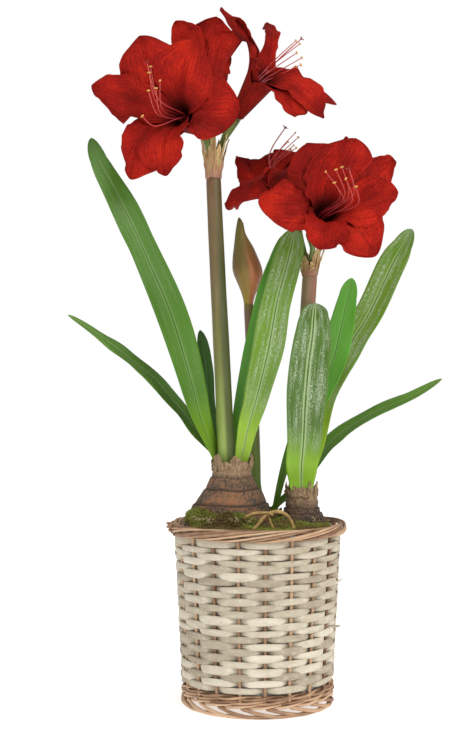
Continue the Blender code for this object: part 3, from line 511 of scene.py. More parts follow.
class Shape:
    """Points, faces and surface places, gathered for one piece.

    A place is three numbers that a material reads: along, across and tone.
    """

    def __init__(self):
        self.points = []
        self.places = []
        self.faces = []
        self.finishes = []

    def point(self, spot, place):
        """Add one point with its place."""
        self.points.append(spot)
        self.places.append(place)

    def face(self, corners, finish=0):
        """Add one face."""
        self.faces.append(tuple(corners))
        self.finishes.append(finish)

    def grid(self, rows, wrap=False, caps=False, finish=0):
        """Join rows of (point, place) pairs with four-sided faces."""
        start = len(self.points)
        width = len(rows[0])
        for row in rows:
            for spot, place in row:
                self.point(spot, place)
        spans = width if wrap else width - 1
        for low in range(start, start + (len(rows) - 1) * width, width):
            for side in range(spans):
                following = (side + 1) % width
                self.face((low + side, low + following,
                           low + width + following, low + width + side), finish)
        if caps:
            self.face(reversed(range(start, start + width)), finish)
            self.face(range(len(self.points) - width, len(self.points)), finish)

    def rod(self, centres, radii, sides, tone, finish=0, flat=1.0, up=None):
        """A capped rod along a path, with no twist, or flattened across the up direction."""
        rows = []
        across = up
        travelled = 0.0
        for index, heading in enumerate(headings(centres)):
            travelled += (centres[index] - centres[max(index - 1, 0)]).length
            across = square_to(heading, up or across or heading.orthogonal())
            other = heading.cross(across) * flat
            row = []
            for side in range(sides):
                spot = centres[index] + spoke(across, other, math.tau * side / sides, radii[index])
                row.append((spot, (travelled * MM, side / sides, tone)))
            rows.append(row)
        self.grid(rows, wrap=True, caps=True, finish=finish)

    def copy_of(self, mesh, matrix, tone, finish=0):
        """Add a copy of a finished mesh, placed by a matrix in millimetres."""
        start = len(self.points)
        for vertex in mesh.vertices:
            self.point(matrix @ (vertex.co / MM), (vertex.co.z / MM, vertex.co.x / MM, tone))
        for polygon in mesh.polygons:
            self.face((start + corner for corner in polygon.vertices), finish)

    def build(self, name, *finishes):
        """Make the object, smooth shaded, with its materials."""
        mesh = bpy.data.meshes.new(name)
        mesh.from_pydata([(p[0] * MM, p[1] * MM, p[2] * MM) for p in self.points], [], self.faces)
        write_places(mesh, self.places)
        for finish in finishes:
            mesh.materials.append(finish)
        mesh.polygons.foreach_set("material_index", self.finishes)
        mesh.shade_smooth()
        item = bpy.data.objects.new(name, mesh)
        bpy.context.collection.objects.link(item)
        return item


def write_places(mesh, places):
    """Store each point's place for the materials to read."""
    layer = mesh.attributes.new("place", "FLOAT_VECTOR", "POINT")
    layer.data.foreach_set("vector", [number for spot in places for number in spot])


def pick(item):
    """Make one object the only one selected, and active."""
    bpy.ops.object.select_all(action="DESELECT")
    item.select_set(True)
    bpy.context.view_layer.objects.active = item


def apply_modifier(item, kind, **settings):
    """Add one modifier to an object and apply it."""
    pick(item)
    modifier = item.modifiers.new(kind.lower(), kind)
    for name, value in settings.items():
        setattr(modifier, name, value)
    bpy.ops.object.modifier_apply(modifier=modifier.name)


def thicken(item, thickness):
    """Give an open sheet its wall, half to each side, and shade it smooth."""
    apply_modifier(item, "SOLIDIFY", thickness=thickness * MM, offset=0.0)
    item.data.shade_smooth()


def drawn_up(name, rings, sides, levels):
    """A closed form drawn up from a circle, ring by ring, and rounded by subdivision.

    A ring is the x, y and z of its middle and its radius.
    """
    x, y, z, radius = rings[0]
    bpy.ops.object.select_all(action="DESELECT")
    bpy.ops.mesh.primitive_circle_add(vertices=sides, radius=radius * MM, fill_type="NGON",
                                      location=(x * MM, y * MM, z * MM))
    item = bpy.context.active_object
    item.name = item.data.name = name
    bpy.ops.object.transform_apply(location=True, rotation=False, scale=False)
    bpy.ops.object.mode_set(mode="EDIT")
    for ring in rings[1:]:
        shift = Vector(ring[:3]) - Vector((x, y, z))
        bpy.ops.mesh.extrude_region_move(TRANSFORM_OT_translate={"value": shift * MM})
        growth = ring[3] / radius
        bpy.ops.transform.resize(value=(growth, growth, 1.0),
                                 center_override=Vector(ring[:3]) * MM)
        x, y, z, radius = ring
    bpy.ops.mesh.select_all(action="SELECT")
    bpy.ops.mesh.normals_make_consistent(inside=False)
    bpy.ops.object.mode_set(mode="OBJECT")
    apply_modifier(item, "SUBSURF", levels=levels, render_levels=levels)
    item.data.shade_smooth()
    return item


def settle(item, slot, *nodes):
    """Let a finished piece stand for its nodes and ride on the part; its slot is not used."""
    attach(item, BODY)
    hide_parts(*nodes)
    return item


class Value:
    """A node's output that takes part in arithmetic."""

    def __init__(self, finish, socket):
        self.finish = finish
        self.socket = socket

    def __add__(self, other):
        return self.finish.arithmetic("ADD", self, other)

    def __sub__(self, other):
        return self.finish.arithmetic("SUBTRACT", self, other)

    def __rsub__(self, other):
        return self.finish.arithmetic("SUBTRACT", other, self)

    def __mul__(self, other):
        return self.finish.arithmetic("MULTIPLY", self, other)

    def __truediv__(self, other):
        return self.finish.arithmetic("DIVIDE", self, other)

    def __rtruediv__(self, other):
        return self.finish.arithmetic("DIVIDE", other, self)

    def __pow__(self, other):
        return self.finish.arithmetic("POWER", self, other)

    __radd__ = __add__
    __rmul__ = __mul__


class Finish:
    """A procedural material, or the world, while its nodes are put together."""

    def __init__(self, name, library="materials"):
        self.owner = getattr(bpy.data, library).new(name)
        self.owner.use_nodes = True
        self.tree = self.owner.node_tree
        self.tree.nodes.clear()

    def node(self, kind, sockets=None, output=0, stops=None, **settings):
        """Add a node: its settings first, then a ramp's stops, then its sockets."""
        made = self.tree.nodes.new("ShaderNode" + kind)
        for name, value in settings.items():
            setattr(made, name, value)
        if stops:
            elements = made.color_ramp.elements
            while len(elements) < len(stops):
                elements.new(0.5)
            for element, (position, colour) in zip(elements, stops):
                element.position = position
                element.color = (*colour, 1.0)
        for key, value in (sockets or {}).items():
            if isinstance(value, Value):
                self.tree.links.new(value.socket, made.inputs[key])
            elif made.inputs[key].type == "RGBA":
                made.inputs[key].default_value = (*value, 1.0)
            else:
                made.inputs[key].default_value = value
        return Value(self, made.outputs[output] if made.outputs else None)

    def arithmetic(self, operation, first, second):
        """One Math node."""
        return self.node("Math", {0: first, 1: second}, operation=operation)

    def size_of(self, value):
        """The value without its sign."""
        return self.arithmetic("ABSOLUTE", value, 0.0)

    def clamped(self, value):
        """The value kept between 0 and 1."""
        return self.node("Clamp", {0: value})

    def spot(self):
        """The place in the part's own space."""
        return self.node("TexCoord", output="Object")

    def place(self):
        """The place on the surface: along, across and tone."""
        return self.node("Attribute", output="Vector", attribute_name="place",
                         attribute_type="GEOMETRY")

    def parts(self, vector):
        """The three numbers of a vector."""
        made = self.node("SeparateXYZ", {0: vector}).socket.node
        return [Value(self, made.outputs[index]) for index in range(3)]

    def noise(self, vector, scale, stretch, detail, roughness, distortion=0.0):
        """Smooth noise about 0.5, with its features stretched."""
        mapped = self.node("Mapping", {"Vector": vector, "Scale": stretch}, vector_type="POINT")
        return self.node("TexNoise", {"Vector": mapped, "Scale": scale, "Detail": detail,
                                      "Roughness": roughness, "Distortion": distortion})

    def cloud(self, scale, stretch=(1.0, 1.0, 1.0), detail=2.0, roughness=0.5, distortion=0.0):
        """Noise that fills the part's own space."""
        return self.noise(self.spot(), scale, stretch, detail, roughness, distortion)

    def grain(self, stretch, detail=2.0, roughness=0.5):
        """Noise that runs along the surface."""
        return self.noise(self.place(), 1.0, stretch, detail, roughness)

    def ramp(self, value, *stops):
        """A colour read from a value, from stops of (position, colour)."""
        return self.node("ValToRGB", {0: value}, stops=stops)

    def mask(self, value, low, high):
        """0 below low and 1 above high, eased between."""
        return self.node("MapRange", {0: value, 1: low, 2: high, 3: 0.0, 4: 1.0},
                         interpolation_type="SMOOTHSTEP")

    def coats(self, colour, *coats):
        """Lay (factor, colour) coats over a colour, one after the other."""
        for factor, over in coats:
            colour = self.node("Mix", {0: factor, 6: colour, 7: over}, output=2, data_type="RGBA")
        return colour

    def bump(self, height, distance, strength=1.0):
        """A normal from a height, with the depth of its relief in millimetres."""
        return self.node("Bump", {"Height": height, "Distance": distance * MM,
                                  "Strength": strength})

    def close(self, colour, roughness, normal=None, **constants):
        """Add the shader and the output, and give back the material."""
        sockets = {"Base Color": colour, "Roughness": roughness}
        if normal is not None:
            sockets["Normal"] = normal
        for name, value in constants.items():
            sockets[name.replace("_", " ").title().replace("Ior", "IOR")] = value
        self.node("OutputMaterial", {"Surface": self.node("BsdfPrincipled", sockets)})
        return self.owner


def length_property(label, description, default):
    """A setting that is a length in metres."""
    return FloatProperty(name=label, description=description, default=default, unit="LENGTH")


def colour_property(label, description, default):
    """A setting that is a colour."""
    return FloatVectorProperty(name=label, description=description, default=default,
                               subtype="COLOR")


def power_property(label, description, default):
    """A setting that is a light's power."""
    return FloatProperty(name=label, description=description, default=default, unit="POWER")


class BasketSizes(bpy.types.PropertyGroup):
    """Sizes and colours of the willow work."""

    stake_radius: length_property("Upright radius", "Radius of one upright rod", 0.0018)
    rows: IntProperty(name="Rows", description="Turns of weavers between wale and rim",
                      default=24)
    weaver_height: length_property("Weaver height", "Height of a weaver in front of an upright", 0.0079)
    weaver_pinch: length_property("Weaver pinch", "Height of a weaver behind an upright", 0.0043)
    weaver_thickness: length_property("Weaver thickness", "Thickness of a weaver", 0.002)
    wave: length_property("Weave depth", "How far a weaver swings to each side of the uprights", 0.0026)
    rod_radius: length_property("Border rod radius", "Radius of the thin rods of rim and wale", 0.0013)
    rim_rods: IntProperty(name="Rim rods", description="Rods rolled into the rim", default=27)
    rim_turn: FloatProperty(name="Rim rod length",
                            description="Spaces between uprights that one rim rod passes",
                            default=7.4)
    pale: colour_property("Weaver", "Colour of the whitewashed weavers", (0.5, 0.435, 0.325))
    grey: colour_property("Weaver shade", "Colour of the duller weavers", (0.3, 0.24, 0.165))
    tan: colour_property("Rod", "Colour of the thin rods", (0.5, 0.31, 0.18))
    brown: colour_property("Rod shade", "Darker colour of the thin rods", (0.2, 0.1, 0.052))


class PlantColours(bpy.types.PropertyGroup):
    """Colours of bulbs, leaves and flowers."""

    __annotations__ = {name: colour_property(label, "Colour: " + label.lower(), colour)
                       for name, (label, colour) in PLANT_COLOURS.items()}


class StageLooks(bpy.types.PropertyGroup):
    """Floor, light and camera."""

    floor_radius: length_property("Floor radius", "Radius of the pale floor", 5.0)
    floor_colour: colour_property("Floor", "Colour of the floor", (0.93, 0.93, 0.92))
    floor_glow: FloatProperty(name="Floor glow", description="Light that the floor gives off",
                              default=0.56)
    ambient: FloatProperty(name="Ambient light", description="Strength of the light all round",
                           default=0.52)
    key: power_property("Key light", "Power of the large soft light", 42.0)
    fill: power_property("Fill light", "Power of the weaker light at the left", 5.8)


def weaver_finish(sizes):
    """Flat peeled willow with a thin whitewash and long fibres."""
    made = Finish("whitewashed willow")
    _, _, tone = made.parts(made.place())
    fibre = made.grain((70.0, 5.0, 40.0), detail=4.0, roughness=0.6)
    wash = made.cloud(150.0, (1.0, 1.0, 2.5), detail=4.0, roughness=0.7)
    stain = made.cloud(85.0, (1.0, 1.0, 2.2), detail=4.0, roughness=0.6)
    knots = made.cloud(260.0)
    shade = made.clamped(tone * 0.75 + fibre * 0.5 + stain * 0.8 - 0.52)
    colour = made.ramp(shade, (0.0, sizes.grey), (0.55, sizes.pale), (1.0, (0.68, 0.62, 0.5)))
    colour = made.coats(colour, (made.mask(wash, 0.5, 0.72) * 0.35, (0.74, 0.7, 0.6)),
                        (made.mask(knots, 0.66, 0.78) * 0.5, (0.3, 0.23, 0.15)))
    return made.close(colour, 0.62 + fibre * 0.25, made.bump(fibre, 0.35, 0.7))


def rod_finish(sizes):
    """Thin brown willow rods with streaks of bark."""
    made = Finish("brown willow")
    _, _, tone = made.parts(made.place())
    streak = made.grain((60.0, 3.0, 30.0), detail=4.0, roughness=0.6)
    patch = made.cloud(90.0)
    shade = made.clamped(tone * 0.75 + streak * 0.9 + patch * 0.4 - 0.62)
    colour = made.ramp(shade, (0.0, sizes.brown), (0.45, sizes.tan), (1.0, (0.7, 0.5, 0.33)))
    return made.close(colour, 0.5 + streak * 0.3, made.bump(streak, 0.3, 0.6))


def rounded(value, power):
    """A number between -1 and 1, bent by a power, with its sign kept."""
    return math.copysign(abs(value) ** power, value)


def weave_wall(sizes):
    """The wall: long flat weavers in one rising spiral, in front of every second upright."""
    draw = random.Random(SEEDS["wall"])
    shape = Shape()
    spaces = sizes.rows * STAKE_COUNT
    height_front = sizes.weaver_height / MM
    height_behind = sizes.weaver_pinch / MM
    thick = sizes.weaver_thickness / MM
    wave = sizes.wave / MM
    low = WEAVE_LOW + 1.0
    rise = WEAVE_TOP - 1.0 - low
    slope = (RADIUS_HIGH - RADIUS_LOW) / (WEAVE_TOP - FOOT_TOP)
    corners = [math.tau * (side + 0.5) / WEAVER_SIDES for side in range(WEAVER_SIDES)]
    section = [(rounded(math.cos(turn), 0.7), rounded(math.sin(turn), 0.8)) for turn in corners]

    start = 0.5
    while start < spaces - 1.0:
        end = min(start + draw.choice(WEAVER_LENGTHS), spaces - 0.5)
        tone = draw.random()
        stout = draw.uniform(0.8, 1.14)
        lean = draw.uniform(-0.2, 0.2)
        sink = draw.uniform(-0.5, 0.5)
        passed = end - start + 2 * WEAVER_OVERLAP
        count = int(passed * WEAVER_STEPS)
        rows = []
        for index in range(count + 1):
            place = start - WEAVER_OVERLAP + passed * index / count
            far = abs((place - 0.5) % 2.0 - 1.0)
            swing = 1.0 - 2.0 * smooth_step(1.0 - (1.0 - far) / 0.46)
            bulge = 0.8 * smooth_step((1.0 - far) / 0.2) + 0.2 * smooth_step(0.9 - far)
            near_end = min(index, count - index) / (0.4 * WEAVER_STEPS)
            taper = 0.55 + 0.45 * smooth_step(near_end)
            each = 1.0 + 0.24 * wobble(place * 0.61, start, 3.0)
            height = (height_behind + (height_front - height_behind) * bulge) * stout * each * taper
            middle = low + rise * place / spaces + 1.1 * wobble(place * 0.47, start, 7.0) + sink
            radius = wall_radius(middle) - WALL / 2 + wave * swing + 0.4 * wobble(place, 11.0)
            radius -= 0.8 * max(1.0 - near_end, 0.0)
            tilt = lean + 0.12 * wobble(place * 0.5, start, 17.0)
            row = []
            for out, up in section:
                lift = up * height / 2
                reach = radius + out * thick / 2 + lift * (slope + tilt)
                row.append((round_basket(place, reach, middle + lift),
                            (place * STAKE_STEP * RADIUS_HIGH * MM, up, tone)))
            rows.append(row)
        shape.grid(rows, wrap=True, caps=True)
        start = end
    for loose in LOOSE_ENDS:
        loose_end(shape, *loose)
    return shape


def rod_round_basket(route, count):
    """Points of a smooth path through places round the basket."""
    return [round_basket(*row) for row in spline(route, count)]


def loose_end(shape, step, height, tone, reach, lift):
    """The split end of a weaver that stands a little off the wall."""
    radius = wall_radius(height)
    route = [(step - 0.9, radius - 4.5, height), (step - 0.4, radius - 0.4, height + 0.2 * lift),
             (step, radius + 0.5 * reach, height + 0.6 * lift),
             (step + 0.25, radius + reach, height + lift)]
    radii = [1.9 - 0.11 * index for index in range(11)]
    shape.rod(rod_round_basket(route, 10), radii, 6, tone, flat=0.4, up=UP)


def uprights(sizes):
    """The uprights, each bent at the bottom to run on in the open foot border."""
    draw = random.Random(SEEDS["uprights"])
    shape = Shape()
    radius = sizes.stake_radius / MM
    for index in range(STAKE_COUNT):
        at = index + 0.5
        tone = draw.random()
        route = [(at + 0.02 * wobble(index * 3.7, height * 0.02), wall_radius(height) - WALL / 2,
                  height) for height in range(172, 12, -16)]
        route.append((at + 0.05, wall_radius(12) - WALL / 2, 11.5))
        drop = draw.uniform(-0.2, 0.2)
        route += [(at + turn, out, height + play * drop)
                  for turn, out, height, play in STAKE_BEND]
        radii = [radius * (0.98 + 0.06 * wobble(index, step * 0.3)) for step in range(65)]
        for step in range(5):
            radii[-1 - step] *= 0.55 + 0.11 * step
        shape.rod(rod_round_basket(route, 64), radii, 8, tone)
    return shape


def twined_band(sizes):
    """The wale: three thin rods at a time, twined round the uprights."""
    shape = Shape()
    draw = random.Random(SEEDS["wale"])
    radius = sizes.rod_radius / MM
    for level, height in enumerate(WALE_HEIGHTS):
        for strand in range(WALE_STRANDS):
            tone = draw.random()
            centres = []
            radii = []
            for index in range(STAKE_COUNT * WALE_STEPS + 1):
                turn = index / WALE_STEPS
                place = turn + strand
                phase = math.tau * (turn - 0.5) / WALE_STRANDS
                swing = math.cos(phase + 0.35 * math.sin(phase))
                climb = 1.5 * math.sin(phase) + 0.35 * wobble(place * 0.8, strand, level)
                out = wall_radius(height) - WALL / 2 + 3.3 * swing + 0.3 * wobble(place, level)
                centres.append(round_basket(place + level * 0.33, out, height + climb))
                radii.append(radius * (1.0 + 0.12 * wobble(place * 0.6, strand, level + 5.0)))
            shape.rod(centres, radii, 7, tone)
    return shape


def rolled_rim(sizes):
    """The rim: many thin rods that climb the outside, cross the top and go down inside."""
    shape = Shape()
    draw = random.Random(SEEDS["rim"])
    for index in range(sizes.rim_rods):
        tone = draw.random()
        start = STAKE_COUNT * index / sizes.rim_rods + draw.uniform(-0.15, 0.15)
        turn = sizes.rim_turn * draw.uniform(0.85, 1.15)
        radius = sizes.rod_radius / MM * draw.uniform(0.72, 1.2)
        low_end = draw.uniform(-100.0, -60.0)
        depth = draw.uniform(0.7, 1.0)
        centres = []
        radii = []
        for step in range(RIM_STEPS + 1):
            share = step / RIM_STEPS
            wind = math.radians(low_end + (RIM_WIND - low_end) * share ** 0.92)
            loose = depth * (1.0 + 0.1 * wobble(index * 5.1, share * 4.0))
            out = RIM_RADIUS + RIM_HALF_WIDTH * loose * math.cos(wind)
            height = RIM_MIDDLE + RIM_HALF_HEIGHT * loose * math.sin(wind)
            centres.append(round_basket(start + turn * share, out, height))
            end_share = min(share, 1 - share) * RIM_STEPS / 4
            radii.append(radius * (0.6 + 0.4 * smooth_step(end_share)))
        shape.rod(centres, radii, 7, tone)
    # Cut ends that stand out in a tuft at the left
    for index in range(TUFT_RODS):
        at = TUFT_PLACE + index * 0.11 + draw.uniform(-0.05, 0.05)
        lift = draw.uniform(-2.0, 5.0)
        route = [(at - 0.9, RIM_RADIUS - 2.0, RIM_MIDDLE + lift * 0.4),
                 (at - 0.3, RIM_RADIUS + 3.0, RIM_MIDDLE + lift * 0.7),
                 (at + 0.1, RIM_RADIUS + 6.0, RIM_MIDDLE + lift)]
        shape.rod(rod_round_basket(route, 8), [1.3] * 9, 6, draw.random())
    return shape


def woven_base():
    """The base: spokes through the middle and thin rods woven round them."""
    shape = Shape()
    draw = random.Random(SEEDS["base"])
    for index in range(STAKE_COUNT):
        near = round_basket(index + 0.5, 3.0, BASE_LEVEL)
        far = round_basket(index + 0.5, BASE_RADIUS, BASE_LEVEL)
        centres = [near.lerp(far, step / 6) for step in range(7)]
        shape.rod(centres, [1.4] * 7, 6, draw.random())
    count = BASE_TURNS * STAKE_COUNT * BASE_STEPS
    centres = []
    for index in range(count + 1):
        place = index / BASE_STEPS
        swing = math.cos(math.pi * (place - 0.5))
        centres.append(round_basket(place, 9.0 + 56.0 * index / count, BASE_LEVEL + 1.5 * swing))
    shape.rod(centres, [1.35] * (count + 1), 6, draw.random())
    bpy.ops.object.select_all(action="DESELECT")
    bpy.ops.mesh.primitive_cylinder_add(vertices=24, radius=10.0 * MM, depth=3.2 * MM,
                                        location=(0, 0, BASE_LEVEL * MM))
    boss = bpy.context.active_object
    bpy.ops.object.transform_apply(location=True, rotation=False, scale=False)
    apply_modifier(boss, "BEVEL", width=1.0 * MM, segments=2)
    shape.copy_of(boss.data, Matrix.Identity(4), 0.3)
    bpy.data.objects.remove(boss, do_unlink=True)
    return shape


def film_finish():
    """Thin pale film with soft creases."""
    made = Finish("liner film")
    crease = made.cloud(60.0, detail=4.0, distortion=1.5)
    colour = made.ramp(crease, (0.2, (0.4, 0.39, 0.36)), (0.8, (0.6, 0.59, 0.55)))
    return made.close(colour, 0.25 + crease * 0.2, made.bump(crease, 1.2, 0.8))


def soil_finish():
    """Dark crumbly peat."""
    made = Finish("peat")
    crumb = made.cloud(320.0, detail=6.0, roughness=0.7)
    colour = made.ramp(crumb, (0.3, (0.018, 0.011, 0.007)), (0.7, (0.075, 0.048, 0.03)))
    return made.close(colour, 0.95, made.bump(crumb, 2.0))


def petal_nose(share, start, blunt=0.62):
    """Rounding of an outline towards its end: 1 up to the start and 0 at the end."""
    if share <= start:
        return 1.0
    along = (share - start) / (1.0 - start)
    return max(1.0 - along ** 1.8, 0.0) ** blunt


def leaf_shape(midrib, face_base, face_tip, seed):
    """One strap leaf: a shallow channel with a groove along its middle and a rounded tip."""
    shape = Shape()
    rows = [[*seen(x, z, y), width] for x, z, y, width in midrib]
    rows[0][2] = midrib[0][1]
    rows.insert(0, [rows[0][0], rows[0][1], rows[0][2] - ROOT_DEPTH, rows[0][3]])
    spans = len(rows) - 1
    last_start = (spans - 1) / spans
    shares = [(span + step / LEAF_STEPS) / spans
              for span in range(spans - 1) for step in range(LEAF_STEPS)]
    shares += [(spans - 1 + math.sin(math.pi / 2 * step / LEAF_TIP_STEPS)) / spans
               for step in range(LEAF_TIP_STEPS + 1)]
    stations = [spline_at(rows, share) for share in shares]
    centres = [Vector(row[:3]) for row in stations]
    rings = []
    for centre, heading, share, station in zip(centres, headings(centres), shares, stations):
        face = Vector(face_base).lerp(Vector(face_tip), smooth_step(share / LEAF_TURN_SHARE))
        side = heading.cross(face).normalized()
        face = side.cross(heading)
        width = station[3]
        if share > last_start:
            along = (share - last_start) / (1.0 - last_start)
            width = max(rows[-2][3] * max(1.0 - along ** 1.7, 0.0) ** 0.75, 0.7)
        width *= 0.55 + 0.45 * smooth_step(share * spans)
        if share == 0.0:
            # The cut at the root lies level
            side, face = (Vector((way.x, way.y, 0.0)).normalized() for way in (side, face))
        upper = []
        lower = []
        free = smooth_step(share / 0.25)
        slim = min(width / 12.0, 1.0)
        for column in range(LEAF_COLUMNS + 1):
            v = 2 * column / LEAF_COLUMNS - 1
            half = width / 2 * (1.0 + 0.1 * free * wobble(share * 7.0, seed, math.copysign(1, v)))
            wave = 2.6 * free * abs(v) ** 3 * wobble(share * 8.0, seed + 3.0, math.copysign(2, v))
            dish = LEAF_CHANNEL * half * v * v + wave * slim
            groove = 0.55 * slim * math.exp(-(v / 0.1) ** 2)
            ridge = 0.12 * slim * math.sin(v * 22.0)
            thick = LEAF_THICKNESS / 2 * (1.0 - 0.74 * v * v) * (0.45 + 0.55 * slim)
            point = centre + side * (v * half) + face * dish
            upper.append((point + face * (thick - groove + ridge), (share, v, 1.0)))
            lower.append((point - face * (thick + groove * 0.8), (share, v, 0.0)))
        rings.append(upper + lower[::-1])
    shape.grid(rings, wrap=True, caps=True)
    return shape


def leaf_finish(kind, colours):
    """Waxy green with long veins and painted shade in the midrib's groove and on the underside; some
    leaves carry a silver bloom broken into fine specks.
    """
    base, middle, tip, end, bloom, speck, shine = LEAF_LOOKS[kind]
    made = Finish("leaf " + kind)
    share, v, upper = made.parts(made.place())
    side = made.size_of(v)
    vein = made.grain((3.0, 30.0, 1.0), detail=3.0, roughness=0.6)
    fine = made.grain((5.0, 80.0, 1.0))
    cloud = made.cloud(16.0, (1.0, 1.0, 0.5), detail=3.0)
    bands = made.grain((2.8, 6.0, 1.0), detail=3.0)
    dust = made.grain((120.0, 17.0, 1.0), roughness=0.8)
    smear = made.grain((6.5, 3.6, 1.0), detail=3.0, roughness=0.6)
    fade = made.mask(share, end, end + 0.15) * (1.0 - made.mask(side, 0.8, 0.95) * 0.8)
    silver = made.mask(bands * 0.5 + smear * 0.5, 0.44, 0.62) * fade
    grains = made.mask(dust, 0.45, 0.6) * made.clamped(smear * 5.0 - 2.1) * fade * speck
    # Painted shade: a dark line along the groove of the midrib
    painted_groove_shade = 1.0 - made.mask(side, 0.012, 0.045)
    rib_pale = made.mask(side, 0.035, 0.06) * (1.0 - made.mask(side, 0.1, 0.16))
    colour = made.coats(
        made.ramp(share, (0.0, base), (end, base), (end + 0.16, middle), (0.8, middle), (1.0, tip)),
        (made.clamped(vein * 1.3 - 0.35) * 0.35, colours.vein_light),
        (made.mask(fine, 0.55, 0.75) * 0.25, colours.vein_dark),
        (made.mask(cloud, 0.45, 0.75) * 0.3, colours.vein_dark),
        (silver * bloom * 0.34, colours.bloom),
        (grains * 0.78, colours.grain),
        (rib_pale * (0.1 + 0.85 * bloom), colours.rib),
        (painted_groove_shade * 0.75, colours.vein_dark),
        (made.mask(side, 0.955, 0.985) * 0.4, colours.vein_light),
        # Painted shade: the underside is darker than the upper face
        ((1.0 - upper) * 0.3, colours.vein_dark))
    relief = made.bump(vein + fine * 0.4 + grains * 0.3, 0.3, 0.6)
    return made.close(colour, shine + silver * 0.15 + grains * 0.2, relief, specular_ior_level=0.3)


class Flower:
    """Where a drawn flower stands: its tube, its axis and two directions across it."""

    def __init__(self, drawn):
        self.drawn = drawn
        self.base = seen(*drawn["base"])
        self.throat = seen(*drawn["throat"])
        self.axis = (self.throat - self.base).normalized()
        self.first = square_to(self.axis, UP)
        self.second = self.axis.cross(self.first)
        self.tips = sorted(self.tip(whorl, *row) for whorl in WHORLS for row in drawn[whorl])

    def around(self, turn, radius=1.0):
        """A step away from the axis."""
        return spoke(self.first, self.second, turn, radius)

    def tip(self, whorl, x, z, depth, width, twist=0.0, arch=1.0):
        """Turn, reach, height, width, whorl, twist and arch of one tepal, round the axis."""
        offset = seen(x, z, depth) - self.throat
        height = offset.dot(self.axis)
        flat = offset - self.axis * height
        turn = math.atan2(flat.dot(self.second), flat.dot(self.first)) % math.tau
        return turn, flat.length, height, width, whorl, twist, arch

    def bowl(self, share, turn, inset):
        """Radius and height of the open bowl at a share of the way to its edge."""
        for index, (low, reach, height, *_, arch) in enumerate(self.tips):
            following = self.tips[(index + 1) % len(self.tips)]
            span = (following[0] - low) % math.tau
            if (turn - low) % math.tau <= span:
                break
        blend = smooth_step((turn - low) % math.tau / span)
        reach += (following[1] - reach) * blend
        height += (following[2] - height) * blend
        arch += (following[-1] - arch) * blend
        curve = [(THROAT_RADIUS, 0.0),
                 (THROAT_RADIUS + KNEE_OUT * reach, KNEE_UP * reach),
                 (CREST_OUT * reach, CREST_LIFT * height + CREST_UP * reach),
                 (reach, height)]
        # A tepal without any arch runs straight from the throat to its tip
        for knot in (1, 2):
            straight = (THROAT_RADIUS + (reach - THROAT_RADIUS) * knot / 3, height * knot / 3)
            curve[knot] = tuple(s + (c - s) * arch for s, c in zip(straight, curve[knot]))
        left = 1.0 - share
        weights = (left ** 3, 3 * share * left ** 2, 3 * share ** 2 * left, share ** 3)
        slopes = (-3 * left ** 2, 3 * left ** 2 - 6 * share * left,
                  6 * share * left - 3 * share ** 2, 3 * share ** 2)
        radius, height, run, rise = (sum(w * spot[axis] for w, spot in zip(shares, curve))
                                     for shares in (weights, slopes) for axis in (0, 1))
        length = math.hypot(run, rise)
        return radius - inset * rise / length, height + inset * run / length

    def place(self, radius, height, turn):
        """A point by its distance from the axis, its height over the throat and its turn."""
        return self.throat + self.axis * height + self.around(turn, radius)


def tepal_width(share):
    """Half the width of a tepal along its length, as a part of its drawn width."""
    full = 0.56 + 0.44 * smooth_step(share / 0.55)
    return max(full * petal_nose(share, 0.65, 0.7), 0.03) * WIDTH_GAIN / 2


